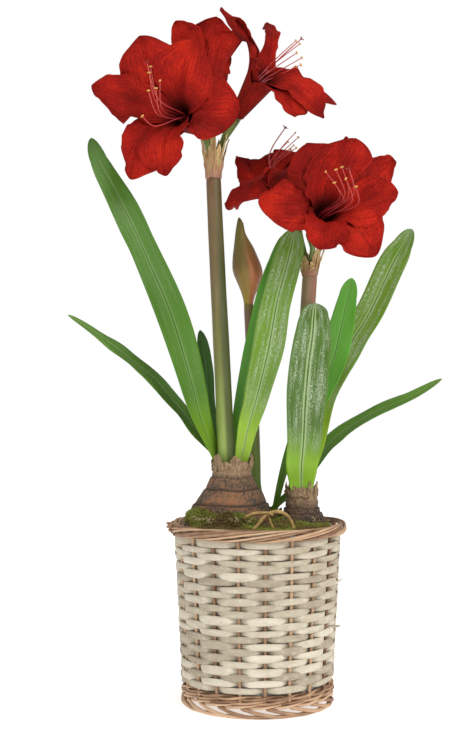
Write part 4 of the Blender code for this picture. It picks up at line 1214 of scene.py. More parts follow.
def whorl_shape(flower, whorl, inset, seed):
    """Three tepals as open sheets, each with its third of the tube."""
    own = [tip for tip in flower.tips if tip[4] == whorl]
    borders = [own[index - 1][0] + (tip[0] - own[index - 1][0]) % math.tau / 2
               for index, tip in enumerate(own)]
    tube_length = (flower.throat - flower.base).length
    ruffle_size, ruffle_lift = RUFFLES[whorl]
    shape = Shape()
    for index, (middle, _, _, width, _, turned, arch) in enumerate(own):
        calmer = 0.3 + 0.7 * arch
        low_edge = (borders[index] - middle + math.pi) % math.tau - math.pi
        high_edge = (borders[(index + 1) % 3] - middle) % math.tau
        across = [2 * column / TEPAL_COLUMNS - 1 for column in range(TEPAL_COLUMNS + 1)]
        arcs = [(v, -v * low_edge if v < 0 else v * high_edge) for v in across]
        tone = 0.5 + 0.5 * wobble(seed * 3.1, index * 2.7)
        rows = []
        for step in range(TUBE_ROWS):
            share = step / TUBE_ROWS
            radius = (TUBE_BASE_RADIUS + (THROAT_RADIUS - TUBE_BASE_RADIUS) * share
                      - inset * (TUBE_INSET_SHARE + (1 - TUBE_INSET_SHARE) * share ** 4))
            rows.append([(flower.place(radius, -tube_length * (1 - share), middle + arc),
                          (share - 1.0, v, tone)) for v, arc in arcs])
        for step in range(TEPAL_ROWS + 1):
            share = math.sin(math.pi / 2 * (step / TEPAL_ROWS) ** 0.9)
            half_width = tepal_width(share) * width
            half_turn = half_width / flower.bowl(share, middle, inset)[0]
            settled = smooth_step(share / TEPAL_FREE_SHARE)
            calm_outline = 1.0 - smooth_step((share - 0.94) / 0.06)
            calm = calmer * (1.0 - smooth_step((share - 0.84) / 0.16))
            twist = math.radians(turned) * smooth_step((share - 0.15) / 0.6)
            row = []
            for v, arc in arcs:
                side = math.copysign(1.0, v)
                limit = SECTOR_USE * (-low_edge if v < 0 else high_edge)
                uneven = 1.0 + settled * calm_outline * (
                    0.32 * wobble(share * 7.0, seed + index * 3.0 + 2.1 * side, 9.0)
                    + 0.16 * wobble(share * 15.0, seed + index * 5.0 + 2.1 * side, 2.0))
                free = v * min(half_turn * uneven, limit) * math.cos(twist)
                turn = middle + arc + (free - arc) * settled
                sway = SWAY * share * wobble(math.cos(turn) * 1.9, math.sin(turn) * 1.9,
                                             share * 2.6 + seed)
                ruffle = wobble(share * 5.2, seed + index * 4.0 + 1.3 * side, 5.0)
                edge = calm * smooth_step((share - 0.25) / 0.45) * abs(v) ** 2.5 * (
                    ruffle_size * ruffle + ruffle_lift)
                furrow = settled * (1.9 * wobble(v * 2.9, share * 1.7, seed + index * 2.0)
                                    + 0.5 * wobble(v * 7.0, share * 1.6, seed + index))
                crease = CREASE * settled * (1.1 - share) * math.exp(-(v / 0.14) ** 2)
                lift = sway + edge + furrow + v * half_width * math.sin(twist)
                radius, height = flower.bowl(share, turn, inset + lift - crease)
                row.append((flower.place(radius, height, turn), (share, v, tone)))
            rows.append(row)
        shape.grid(rows)
    return shape


def tepal_object(name, shape, finish):
    """Join the tube's seams, let the sheets face one way and give them their wall."""
    item = shape.build(name, finish)
    pick(item)
    bpy.ops.object.mode_set(mode="EDIT")
    bpy.ops.mesh.select_all(action="SELECT")
    bpy.ops.mesh.remove_doubles(threshold=0.01 * MM)
    bpy.ops.mesh.normals_make_consistent(inside=False)
    bpy.ops.object.mode_set(mode="OBJECT")
    thicken(item, TEPAL_THICKNESS)
    return item


def tepal_finish(colours, whorl):
    """Velvety scarlet with fine veins and a painted highlight on the rim; the inner whorl lines a
    throat darkened by painted shade.
    """
    throat_low, throat_high, throat_depth = THROAT_SHADES[whorl]
    made = Finish("velvet tepal " + whorl)
    share, v, tone = made.parts(made.place())
    vein = made.grain((2.2, 26.0, 3.0), detail=3.0, roughness=0.6)
    fine = made.grain((4.0, 80.0, 3.0))
    cloud = made.cloud(26.0, detail=3.0)
    nap = made.cloud(420.0, detail=3.0, roughness=0.7)
    shade = made.clamped(vein * 0.8 + cloud * 1.1 + nap * 0.6 + tone * 0.2 - 0.9)
    # Painted shade: the throat's dark colour over each tepal's foot, where the tube lies deep
    deep = (1.0 - made.mask(share, throat_low, throat_high)) * throat_depth
    # Painted highlight: a lighter orange along the tepals' edges
    rim = made.mask(made.size_of(v), 0.93, 1.0) * made.mask(share, 0.3, 0.6)
    colour = made.coats(
        made.ramp(shade, (0.1, colours.petal_dark), (0.45, colours.petal),
                  (0.9, colours.petal_bright)),
        (deep, colours.throat), (rim * 0.12, colours.petal_edge))
    relief = made.bump(vein * 1.2 + fine * 0.4 + nap * 0.7, 0.8, 0.9)
    return made.close(colour, 0.5 + nap * 0.2, relief, specular_ior_level=0.05)


def anther_places(flower):
    """Where the six anthers and the style end."""
    drawn = flower.drawn["anthers"]
    if isinstance(drawn, list):
        return [seen(*spot) for spot in drawn]
    places = []
    for index in range(STAMEN_ENDS):
        out = flower.around(math.tau * index / STAMEN_ENDS + 0.4)
        places.append(seen(*drawn) + out * (5.0 + 3.0 * (index % 3))
                      - flower.axis * (6.0 * (index % 2)))
    return places


def anther_mould():
    """One anther: a small grain with a furrow, lying along x."""
    bpy.ops.object.select_all(action="DESELECT")
    bpy.ops.mesh.primitive_uv_sphere_add(segments=10, ring_count=8, radius=MM)
    item = bpy.context.active_object
    for vertex in item.data.vertices:
        spot = vertex.co / MM
        furrow = 1.0 - 0.35 * math.exp(-(spot.y / 0.3) ** 2) * (spot.z > 0)
        vertex.co = Vector((spot.x * 2.1, spot.y, spot.z * 0.85 * furrow
                            - 0.35 * spot.x ** 2)) * MM
    return item


def stamen_shape(flower, mould, seed):
    """Six filaments with their anthers, and the style with its three-parted end."""
    shape = Shape()
    low = flower.base - flower.axis * 0.2
    places = anther_places(flower)
    for index, end in enumerate(places):
        out = flower.around(math.tau * index / len(places))
        rows = [low + out * (DISC_RADIUS * 0.5), flower.throat + out * DISC_RADIUS,
                flower.throat.lerp(end, 0.5) + out * 1.5 + Vector(flower.drawn["sag"]), end]
        centres = [Vector(row) for row in spline(rows, FILAMENT_STEPS)]
        style = index == len(places) - 1
        thick = STYLE_RADIUS if style else FILAMENT_RADIUS
        radii = [thick * (1.0 - 0.4 * step / FILAMENT_STEPS)
                 for step in range(FILAMENT_STEPS + 1)]
        shape.rod(centres, radii, 6, 0.5 + 0.5 * wobble(seed, index * 1.7))
        heading = (centres[-1] - centres[-2]).normalized()
        if style:
            across = heading.orthogonal()
            for part in range(3):
                out = spoke(across, heading.cross(across), math.tau * part / 3)
                shape.rod([end - heading * 0.5, end + heading + out,
                           end + heading * 1.6 + out * 2.6], [0.6, 0.6, 0.35], 5, 0.9)
        else:
            across = square_to(heading, Vector((wobble(seed * 1.7, index * 3.3) + 0.25, -0.3,
                                                1.4 * wobble(seed, index * 5.1, 2.0))))
            turned = Matrix((across, heading.cross(across), heading)).transposed().to_4x4()
            matrix = Matrix.Translation(end + heading * 0.6) @ turned
            shape.copy_of(mould.data, matrix, 0.5 + 0.5 * wobble(index * 2.1, seed), 1)
    sides = 16
    rings = [[(low + flower.axis * rise + flower.around(math.tau * side / sides, radius),
               (0.0, side / sides, 0.3)) for side in range(sides)]
             for rise, radius in ((-0.5, DISC_RADIUS), (1.5, DISC_RADIUS), (2.0, DISC_RADIUS * 0.7))]
    shape.grid(rings, wrap=True, caps=True)
    return shape


def filament_finish(colours):
    """Thin red filaments, paler towards their ends."""
    made = Finish("filament")
    along, _, tone = made.parts(made.place())
    grain = made.cloud(400.0)
    colour = made.ramp(made.clamped(along * 12.0 + tone * 0.3 - 0.1), (0.0, colours.petal),
                       (0.6, colours.filament), (1.0, colours.filament_end))
    return made.close(colour, 0.35 + grain * 0.15, subsurface_weight=0.1, subsurface_scale=0.001)


def anther_finish(colours):
    """Powdery yellow pollen."""
    made = Finish("anther")
    dust = made.cloud(900.0, detail=3.0, roughness=0.7)
    colour = made.ramp(dust, (0.3, colours.pollen_dark), (0.65, colours.pollen))
    return made.close(colour, 0.9, made.bump(dust, 0.3))


def pedicel_shape(flower):
    """The short flower stem from the stalk's top, swelling to the three-sided ovary."""
    foot = stalk_top(flower.drawn["stalk"]) + polar(
        PEDICEL_RING, math.radians(flower.drawn["seat"]), GAP)
    end = flower.base - flower.axis * 0.2
    route = ((foot, PEDICEL_RADIUS), (foot + UP * PEDICEL_RISE, PEDICEL_RADIUS),
             (seen(*flower.drawn["bend"]), PEDICEL_RADIUS),
             (end - flower.axis * OVARY_LENGTH, OVARY_RADIUS), (end, OVARY_TOP_RADIUS))
    rows = spline([[*point, radius] for point, radius in route], PEDICEL_STEPS)
    centres = [Vector(row[:3]) for row in rows]
    shape = Shape()
    rings = []
    across = None
    for index, heading in enumerate(headings(centres)):
        across = square_to(heading, across or heading.orthogonal())
        share = index / PEDICEL_STEPS
        swell = smooth_step((share - 0.62) / 0.15)
        ring = []
        for side in range(PEDICEL_SIDES):
            angle = math.tau * side / PEDICEL_SIDES
            radius = rows[index][3] * (1.0 + 0.09 * swell * math.cos(3 * angle))
            ring.append((centres[index] + spoke(across, heading.cross(across), angle, radius),
                         (share, side / PEDICEL_SIDES, 0.5)))
        rings.append(ring)
    shape.grid(rings, wrap=True, caps=True)
    return shape


def pedicel_finish(colours):
    """Smooth green, darker towards the flower."""
    made = Finish("pedicel")
    along, _, _ = made.parts(made.place())
    cloud = made.cloud(60.0, (1.0, 1.0, 0.4))
    colour = made.ramp(made.clamped(along * 0.8 + cloud * 0.5 - 0.2), (0.0, colours.stem_green),
                       (0.7, colours.ovary), (1.0, (0.1, 0.07, 0.02)))
    return made.close(colour, 0.35 + cloud * 0.15)


def away_from(spot, x, y):
    """The level step from an upright axis to a point."""
    return Vector((spot.x - x, spot.y - y, 0.0))


def bulb_body(name, bulb, seed):
    """A bulb drawn up ring by ring, its dry skins ending in ledges one above the other."""
    axis_x, axis_y = bulb["at"]
    rings = [(axis_x + shift, axis_y, height, radius)
             for height, radius, shift in spline(bulb["rings"], 2 * len(bulb["rings"]) - 2)]
    x, y, z, radius = rings[-1]
    rings += [(x, y, z + 0.3, radius * 0.85), (x, y, z - 5.0, radius * 0.6)]
    item = drawn_up(name, rings, 32, 2)
    edges = bulb["edges"]
    places = []
    for vertex in item.data.vertices:
        spot = vertex.co / MM
        height = spot.z
        out = away_from(spot, axis_x + bulb_ring(bulb, height)[1], axis_y)
        around = math.atan2(out.x, -out.y)
        ring_x, ring_y = math.cos(around), math.sin(around)
        level = (height + 1.5 * wobble(ring_x * 1.3, ring_y * 1.3, seed)
                 + 0.5 * wobble(ring_x * 7.0, ring_y * 7.0, seed + height * 0.02))
        band = sum(level > edge for edge in edges[1:-1])
        low, high = edges[band], edges[band + 1]
        along = min((level - low) / (high - low), 1.0)
        if out.length > 2.0 and height > bulb["rings"][0][0] + 4:
            ledge = LEDGE * (0.9 * along ** 0.7 - 0.5) if band < len(edges) - 2 else 0.0
            lump = 1.2 * wobble(ring_x * 2.4, ring_y * 2.4, height * 0.07 + seed)
            crinkle = 0.45 * wobble(around * 9.0, height * 0.25, band * 3.0 + seed)
            spot += out.normalized() * (ledge + lump + crinkle)
        vertex.co = spot * MM
        places.append((along, around / math.tau, 0.5 + 0.5 * wobble(band * 2.37, seed * 1.9, 0.7)))
    write_places(item.data, places)
    return item


def bulb_ring(bulb, height):
    """Radius of a bulb and sideways shift of its middle at a height."""
    rows = bulb["rings"]
    for low, high in zip(rows, rows[1:]):
        if height <= high[0]:
            share = max((height - low[0]) / (high[0] - low[0]), 0.0)
            return [first + (second - first) * share for first, second in zip(low[1:], high[1:])]
    return rows[-1][1:]


def neck_flaps(name, bulb, seed):
    """The dry papery ends of the skins, standing ragged round a bulb's neck."""
    axis_x, axis_y = bulb["at"]
    foot = bulb["flap_foot"]
    shape = Shape()
    for index, (middle, width, top, flare) in enumerate(bulb["flaps"]):
        tone = 0.75 + 0.25 * wobble(index * 1.9, seed)
        rows = []
        for level in range(FLAP_LEVELS + 1):
            share = level / FLAP_LEVELS
            rise = smooth_step(share / 0.5)
            row = []
            for column in range(FLAP_COLUMNS + 1):
                v = 2 * column / FLAP_COLUMNS - 1
                fall = (0.52 * abs(v) ** 1.8 + 0.14 * wobble(v * 2.3, seed + index)
                        + 0.12 * wobble(v * 7.0, seed, index * 2.0))
                height = foot + (top - foot) * share * (1.0 - fall)
                angle = math.radians(middle + v * width / 2)
                spread = (rise * (0.5 + 0.35 * (index % 3)) + flare * share ** 2
                          + 1.5 * rise * wobble(v * 2.4, height * 0.22, seed + index)
                          + 0.6 * rise * wobble(v * 6.0, height * 0.5, seed + index))
                radius, shift = bulb_ring(bulb, height)
                row.append((Vector((axis_x + shift, axis_y, 0.0))
                            + polar(radius + spread - 0.9 * (1.0 - rise), angle, height),
                            (0.6 + 0.4 * share, angle / math.tau, tone)))
            rows.append(row)
        shape.grid(rows)
    item = shape.build(name)
    thicken(item, PAPER_THICKNESS)
    return item


def bulb_finish(name, colours, rust_amount, neck_height):
    """Papery skins: grey brown bands with rust, paler and fibrous towards the neck, with painted shade
    towards the sides and at each skin's foot.
    """
    made = Finish(name)
    along, around, tone = made.parts(made.place())
    _, _, height = made.parts(made.spot())
    fibre = made.grain((0.8, 60.0, 9.0), detail=4.0, roughness=0.65)
    fine = made.grain((5.0, 160.0, 9.0))
    cloud = made.cloud(42.0, (1.0, 1.0, 1.6), detail=4.0, roughness=0.6)
    mottle = made.cloud(330.0, detail=4.0, roughness=0.8)
    crumbs = made.cloud(700.0, (1.0, 1.0, 1.6))
    sides = made.size_of(around)
    # Painted shade: the skins darken towards the bulb's sides, away from the front
    shade = made.clamped(tone * 0.35 + cloud * 0.8 + mottle * 1.9 + crumbs * 1.3
                         - sides * 0.5 - 1.72)
    rust = made.mask(cloud * 1.2 + mottle * 1.7 + crumbs * 1.1 - sides * 0.9, 1.8, 2.3)
    neck = made.mask(height, (neck_height - 8.0) * MM, (neck_height + 1.0) * MM)
    paper = made.ramp(made.clamped(fibre * 0.9 + mottle * 0.9 + crumbs * 0.4 - 0.62),
                      (0.25, colours.neck_dark), (0.52, colours.neck), (0.8, colours.neck_pale))
    # Painted shade: a dark line at the foot of each skin, where it steps in behind the edge of the skin
    # below
    root = made.clamped((1.5 - along * 5.5) + (mottle - 0.5) * 1.2) * (1.0 - neck)
    colour = made.coats(
        made.ramp(shade, (0.1, colours.skin_dark), (0.4, colours.skin_mauve),
                  (0.62, colours.skin_brown), (0.9, colours.skin_tan)),
        (rust * 0.85 * rust_amount, colours.skin_rust),
        (made.mask(mottle + crumbs, 1.02, 1.3) * 0.42, colours.skin_dark),
        (neck, paper),
        (made.mask(fibre, 0.55, 0.8) * 0.35, colours.neck_dark),
        (root * 0.85, colours.skin_dark))
    relief = made.bump(fibre * 0.5 + fine * 0.2 + mottle * 1.2 + crumbs * 0.6, 1.0, 1.2)
    return made.close(colour, 0.55 + cloud * 0.3, relief, specular_ior_level=0.3)


def moss_height(x, y):
    """Height of the moss at a place, higher where it climbs the bulbs and low inside them."""
    height = (MOSS_LEVEL + 2.4 * wobble(x * 0.06, y * 0.06, 4.0)
              + 1.1 * wobble(x * 0.19, y * 0.19, 9.0)
              - 3.5 * smooth_step((math.hypot(x, y) - 67.0) / 6.0))
    for bulb in BULBS.values():
        from_x, from_y = x - bulb["at"][0], y - bulb["at"][1]
        gap = math.hypot(from_x, from_y) - bulb_ring(bulb, MOSS_LEVEL)[0]
        if gap > -1.5:
            side = math.atan2(from_y, from_x)
            cover = 0.55 + 0.45 * math.cos(side - math.radians(200.0))
            height += bulb["moss"] * cover * math.exp(-(max(gap, 0.0) / 6.0) ** 2)
        else:
            height = min(height, MOSS_FLOOR + 0.8)
    return height


def moss_bed():
    """The lumpy bed of moss as a closed form."""
    shape = Shape()
    turns = [math.tau * step / MOSS_SIDES for step in range(MOSS_SIDES)]
    rings = [[(polar(radius, turn, MOSS_FLOOR), (0.0, 0.0, 0.2)) for turn in turns]
             for radius in (2.0, MOSS_RADIUS)]
    for level in range(MOSS_RINGS):
        share = level / MOSS_RINGS
        spots = [polar(MOSS_RADIUS * (1.0 - share) + 0.8 * share, turn) for turn in turns]
        rings.append([(Vector((x, y, moss_height(x, y))), (0.0, 0.5, 0.3)) for x, y, _ in spots])
    shape.grid(rings, wrap=True, caps=True)
    return shape


def moss_leaves(shape):
    """Short pointed leaves all over the moss, and up the left of the large bulb."""
    draw = random.Random(SEEDS["moss"])
    large = BULBS["large_bulb"]
    made = 0
    while made < MOSS_LEAVES:
        if made % 3 == 0:
            low, high = MOSS_CLIMB_SIDES
            side = draw.uniform(low, high)
            top = spline_at(MOSS_CLIMB, (side - low) / (high - low))[0]
            side = math.radians(side)
            height = MOSS_FLOOR + 3.0 + (top - MOSS_FLOOR - 3.0) * draw.random() ** 0.8
            height += 2.5 * wobble(side * 4.0, 3.0)
            radius, shift = bulb_ring(large, height)
            foot = Vector((large["at"][0] + shift, large["at"][1], 0.0)) + polar(
                radius + 0.2, side, height)
            normal = polar(1.0, side, 1.05).normalized()
        else:
            turn = draw.uniform(0.0, math.tau)
            foot = polar(MOSS_RADIUS * math.sqrt(draw.random()), turn)
            foot.z = moss_height(foot.x, foot.y) - 0.4
            if foot.z < MOSS_FLOOR + 2.0:
                continue
            normal = UP
        made += 1
        lean = Vector((draw.uniform(-1, 1), draw.uniform(-1, 1), draw.uniform(-0.4, 0.6)))
        heading = (normal + lean * 0.8).normalized()
        if math.hypot(foot.x + heading.x * 3, foot.y + heading.y * 3) > MOSS_RADIUS:
            continue
        length = draw.uniform(1.8, 4.2)
        wide = draw.uniform(0.3, 0.62)
        across = heading.orthogonal().normalized()
        turn = draw.uniform(0.0, math.tau)
        tone = 0.5 + 0.9 * wobble(foot.x * 0.05, foot.y * 0.05, foot.z * 0.05 + 2.0)
        tone = min(max(tone + draw.uniform(-0.42, 0.42), 0.0), 1.0)
        start = len(shape.points)
        for corner in range(3):
            step = spoke(across, heading.cross(across), turn + math.tau * corner / 3, wide)
            shape.point(foot + step, (0.0, 1.0, tone))
            shape.face((start + corner, start + (corner + 1) % 3, start + 3))
        shape.point(foot + heading * length, (1.0, 1.0, tone))
        shape.face((start + 2, start + 1, start))


def straw_bits(shape):
    """Dry bits of stem on the moss."""
    draw = random.Random(SEEDS["straw"])
    for x, z, depth, spread in STRAW:
        for _ in range(STRAW_BITS):
            spot = seen(x + draw.uniform(-spread, spread), z + draw.uniform(-2.5, 2.5),
                        depth + draw.uniform(-1, 1))
            heading = Vector((draw.uniform(-1, 1), draw.uniform(-0.5, 0.5),
                              draw.uniform(-0.5, 0.7))).normalized()
            length = draw.uniform(0.7, 2.0)
            centres = [spot + heading * (length * (step / 3 - 0.5)) for step in range(4)]
            shape.rod(centres, [0.2, 0.36, 0.32, 0.15], 5, draw.uniform(0.6, 1.0), finish=1)


def moss_finish(colours):
    """Moss: dark brown green below, with brighter tips and patches."""
    made = Finish("moss")
    along, _, tone = made.parts(made.place())
    x, _, _ = made.parts(made.spot())
    cloud = made.cloud(60.0, detail=4.0)
    speckle = made.cloud(420.0)
    left = 1.0 - made.mask(x, -0.068, -0.045)
    shade = made.clamped(tone * 0.7 + along * 0.35 + cloud * 0.8 + speckle * 0.5
                         + left * 0.22 - 0.86)
    colour = made.ramp(shade, (0.02, colours.moss_brown), (0.22, colours.moss_dark),
                       (0.55, colours.moss_bright), (0.95, (0.34, 0.36, 0.08)))
    return made.close(colour, 0.85, specular_ior_level=0.2)


def root_shape(route, radius, seed):
    """One aerial root: a tapering, slightly uneven rod."""
    centres = []
    radii = []
    for step, (x, z, y) in enumerate(spline(route, ROOT_STEPS)):
        share = step / ROOT_STEPS
        shift = Vector([wobble(share * 5, seed + far) for far in (0, 4, 8)])
        centres.append(Vector((x, y, z)) + shift * (0.5 * math.sin(math.pi * share)))
        radii.append(radius * (1.0 + 0.14 * wobble(share * 9.0, seed + 1.0)
                               - 0.18 * abs(2 * share - 1)))
    shape = Shape()
    shape.rod(centres, radii, 12, 0.5)
    return shape


def straw_finish():
    """Dry straw-coloured bits."""
    made = Finish("dry bits")
    return made.close(made.ramp(made.cloud(500.0), (0.3, (0.34, 0.24, 0.12)),
                                (0.7, (0.6, 0.48, 0.28))), 0.8)


def root_finish():
    """Spongy yellow brown roots."""
    made = Finish("root")
    grain = made.grain((260.0, 4.0, 1.0), detail=4.0)
    cloud = made.cloud(160.0, detail=3.0)
    colour = made.ramp(made.clamped(grain * 0.6 + cloud * 0.6 - 0.1),
                       (0.2, (0.14, 0.075, 0.025)), (0.55, (0.44, 0.28, 0.09)),
                       (0.85, (0.66, 0.47, 0.2)))
    return made.close(colour, 0.6, made.bump(grain + cloud, 0.3, 0.7))


def stalk_body(name, rows):
    """One flower stalk, drawn up and rounded, very slightly uneven."""
    stations = spline([[*seen(x, z, y), radius] for x, z, y, radius in rows], 18)
    stations[0][2] = rows[0][1]
    x, y, z, radius = stations[0]
    stations.insert(0, [x, y, z - ROOT_DEPTH, radius])
    x, y, z, radius = stations[-1]
    stations.append([x, y, z + STALK_OVERLAP, radius * 0.85])
    item = drawn_up(name, stations, 24, 1)
    low, high = stations[0][2], stations[-1][2]
    places = []
    for vertex in item.data.vertices:
        spot = vertex.co / MM
        share = (spot.z - low) / (high - low)
        out = away_from(spot, *spline_at(stations, share)[:2])
        if out.length > 1.0:
            out.normalize()
            spot += out * 0.3 * wobble(out.x * 1.2, out.y * 1.2, spot.z * 0.02)
        vertex.co = spot * MM
        places.append((share, out.y, out.x))
    write_places(item.data, places)
    return item


def stalk_finish(name, stops, side_tint, tint_amount):
    """A smooth stalk whose colour changes from its foot to its top, with fine streaks and painted shade
    down its right side.
    """
    made = Finish(name)
    _, _, height = made.parts(made.spot())
    _, _, turned = made.parts(made.place())
    streak = made.cloud(1.0, (420.0, 420.0, 12.0), detail=3.0)
    cloud = made.cloud(20.0, (1.0, 1.0, 0.4), detail=3.0)
    bloom = made.cloud(90.0, (1.0, 1.0, 0.3), detail=4.0)
    level = made.clamped((height - STALK_LOW * MM) / (STALK_RISE * MM) + (cloud - 0.5) * 0.12)
    # Painted shade: a darker tint down the stalk's right side, weaker higher up
    shaded = made.mask(turned, -0.25, 0.35) * (1.0 - made.mask(height, 0.4, 0.53) * 0.6)
    colour = made.coats(
        made.ramp(level, *stops),
        (made.mask(streak, 0.5, 0.75) * 0.35, side_tint),
        (shaded * tint_amount, side_tint),
        (made.mask(bloom, 0.45, 0.8) * 0.07, (0.48, 0.42, 0.28)))
    relief = made.bump(streak, 0.12, 0.5)
    return made.close(colour, 0.36 + bloom * 0.2, relief, specular_ior_level=0.45)


def stalk_top(stalk):
    """The middle of a stalk's top."""
    x, z, depth, _ = STALKS[stalk][-1]
    return seen(x, z, depth)


def bud_body(name):
    """The closed bud: two bracts that meet in a slanting line over the flowers inside."""
    rings = [(*seen(x, z, BUD_DEPTH), radius) for x, z, radius in spline(BUD_RINGS, 26)]
    item = drawn_up(name, rings, 28, 2)
    x, y, z, radius = rings[0]
    rings.insert(0, (x, y, z - 2.0, radius * 0.9))
    low, high = rings[0][2], rings[-1][2]
    places = []
    for vertex in item.data.vertices:
        spot = vertex.co / MM
        share = (spot.z - low) / (high - low)
        out = away_from(spot, *spline_at(rings, share)[:2])
        around = math.atan2(out.x, -out.y)
        gap = around - spline_at(BUD_SEAM, share)[0]
        raised = smooth_step(gap / 0.16 + 0.5) * (1 - smooth_step((share - 0.93) / 0.07))
        raised *= smooth_step((share - 0.1) / 0.3)
        raised *= 1.0 - smooth_step((abs(around) - 2.6) / 0.2 + 0.5)
        if out.length > 0.5:
            ribs = 0.16 * math.sin(around * 9.0 + 3.0 * wobble(share * 3.0, around))
            bulge = 0.5 * math.sin(around * 3.0 + 0.8) * math.sin(math.pi * min(share * 1.4, 1.0))
            spot += out.normalized() * (raised * 1.1 - 0.4 + ribs * min(share * 5, 1.0) + bulge)
        vertex.co = spot * MM
        places.append((share, around / math.tau, raised))
    write_places(item.data, places)
    return item


def bud_finish():
    """Olive tip and left bract, orange right bract with red streaks, yellow at the foot."""
    made = Finish("bud")
    share, around, right = made.parts(made.place())
    streak = made.grain((3.0, 42.0, 2.0), detail=4.0, roughness=0.6)
    cloud = made.cloud(70.0, detail=3.0)
    left_side, right_side = (made.ramp(share, *stops) for stops in BUD_COLOURS)
    orange = made.mask(around, -0.01, 0.05) * made.clamped(1.6 - share * 1.6) + right * 0.3
    mauve = (1.0 - made.mask(around, -0.18, -0.08)) * made.mask(share, 0.25, 0.4)
    red = made.mask(streak, 0.48, 0.7) * made.mask(around, 0.0, 0.06) * (
        1.0 - made.mask(share, 0.35, 0.6))
    colour = made.coats(
        left_side, (orange, right_side), (mauve * 0.35, (0.19, 0.105, 0.055)),
        (red * 0.7, (0.38, 0.075, 0.045)),
        (made.mask(cloud, 0.5, 0.75) * 0.18, (0.42, 0.28, 0.09)))
    return made.close(colour, 0.38 + cloud * 0.15, made.bump(streak, 0.3, 0.6))


def spathe_shape(stalk, strips, seed):
    """The dry bracts at a stalk's top: thin strips that split, curl and fray."""
    base_radius = STALKS[stalk][-1][3]
    top = stalk_top(stalk)
    shape = Shape()
    for index, (angle, width, height, flare, curl) in enumerate(strips):
        tone = 0.5 + 0.5 * wobble(index * 1.7, seed)
        rows = []
        for level in range(STRIP_LEVELS + 1):
            share = level / STRIP_LEVELS
            turn = math.radians(angle) + math.radians(curl) * share ** 1.5
            narrow = max((1.0 - 0.25 * share) * petal_nose(share, 0.55), 0.05)
            row = []
            for column in range(STRIP_COLUMNS + 1):
                v = 2 * column / STRIP_COLUMNS - 1
                ragged = 1.0 + 0.05 * wobble(v * 2.3, seed + index, share * 3)
                foot = 0.5 + 3.5 * wobble(index * 1.7, seed, 4.0) + 1.5 * wobble(v * 1.7, seed)
                lift = foot + (height - foot) * share * ragged
                radius = (base_radius + 0.45 + flare * share ** 1.6
                          + 1.6 * smooth_step(share * 2.5)
                          * wobble(v * 1.9, share * 5.0, seed + index * 2.0))
                # A wide strip wraps the stalk at its foot and opens flat above
                wrap = v * width / 2 * narrow / (base_radius + 0.5 + 2.5 * flare * share)
                row.append((top + polar(radius, turn + wrap, lift), (share, v, tone)))
            rows.append(row)
        shape.grid(rows)
    return shape


def spathe_finish(colours):
    """Dry, papery: pink at the foot and straw above, with long fibres."""
    made = Finish("spathe")
    share, _, _ = made.parts(made.place())
    fibre = made.grain((1.5, 12.0, 8.0), detail=4.0, roughness=0.6)
    stain = made.cloud(190.0, (1.0, 1.0, 0.4), detail=3.0)
    green = made.mask(stain, 0.5, 0.7) * made.mask(share, 0.2, 0.5)
    colour = made.coats(
        made.ramp(made.clamped(share + (fibre - 0.5) * 0.5 + (stain - 0.5) * 0.9),
                  (0.05, colours.spathe_foot), (0.4, colours.spathe), (0.8, colours.straw)),
        (made.mask(fibre, 0.5, 0.75) * 0.6, (0.27, 0.15, 0.06)),
        (green * 0.45, (0.25, 0.25, 0.06)))
    return made.close(colour, 0.6 + fibre * 0.2, made.bump(fibre, 0.3),
                      subsurface_weight=0.2, subsurface_scale=0.002)


class AMARYLLIS_OT_basket(bpy.types.Operator):
    """Weave the willow basket: base, uprights, wale, wall and rim"""

    bl_idname = "amaryllis.basket"
    bl_label = "Willow basket"

    def execute(self, context):
        sizes = context.scene.amaryllis_basket
        rods = rod_finish(sizes)
        wall = weave_wall(sizes).build("woven_wall", weaver_finish(sizes))
        settle(wall, "white_willow", "basket_weave")
        for name, shape, node in (
                ("willow_uprights", uprights(sizes), "basket_stakes"),
                ("twined_band", twined_band(sizes), "basket_wale"),
                ("rolled_rim", rolled_rim(sizes), "basket_rim"),
                ("woven_base", woven_base(), "basket_base")):
            settle(shape.build(name, rods), "brown_willow", node)
        return {"FINISHED"}


class AMARYLLIS_OT_filling(bpy.types.Operator):
    """Finish the liner and the soil inside the basket"""

    bl_idname = "amaryllis.filling"
    bl_label = "Liner and soil"

    def execute(self, context):
        for node, finish in (("liner", film_finish()), ("soil", soil_finish())):
            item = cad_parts[node]
            for slot in item.material_slots:
                slot.material = finish
        return {"FINISHED"}


class AMARYLLIS_OT_bulbs(bpy.types.Operator):
    """Shape the three bulbs with their dry skins and ragged necks"""

    bl_idname = "amaryllis.bulbs"
    bl_label = "Bulbs"

    def execute(self, context):
        colours = context.scene.amaryllis_plant
        for seed, (name, bulb) in enumerate(BULBS.items()):
            finish = bulb_finish(name + " skin", colours, bulb["rust"], bulb["flap_foot"])
            body = bulb_body(name, bulb, 11.0 + seed * 5.0)
            flaps = neck_flaps(name + "_flaps", bulb, 31.0 + seed * 3.0)
            body.data.materials.append(finish)
            flaps.data.materials.append(finish)
            pick(body)
            flaps.select_set(True)
            bpy.ops.object.join()
            body.data.shade_smooth()
            settle(body, "bulb_skin", bulb["node"])
        return {"FINISHED"}


class AMARYLLIS_OT_moss(bpy.types.Operator):
    """Lay the moss over the soil and up the large bulb"""

    bl_idname = "amaryllis.moss"
    bl_label = "Moss"

    def execute(self, context):
        colours = context.scene.amaryllis_plant
        shape = moss_bed()
        moss_leaves(shape)
        straw_bits(shape)
        straw = straw_finish()
        settle(shape.build("moss_bed", moss_finish(colours), straw), "moss", "moss")
        return {"FINISHED"}


class AMARYLLIS_OT_roots(bpy.types.Operator):
    """Shape the three aerial roots"""

    bl_idname = "amaryllis.roots"
    bl_label = "Roots"

    def execute(self, context):
        finish = root_finish()
        for seed, (node, (route, radius)) in enumerate(ROOTS.items()):
            item = root_shape(route, radius, 3.0 + seed * 7.0).build(node + "_surface", finish)
            settle(item, "root", node)
        return {"FINISHED"}


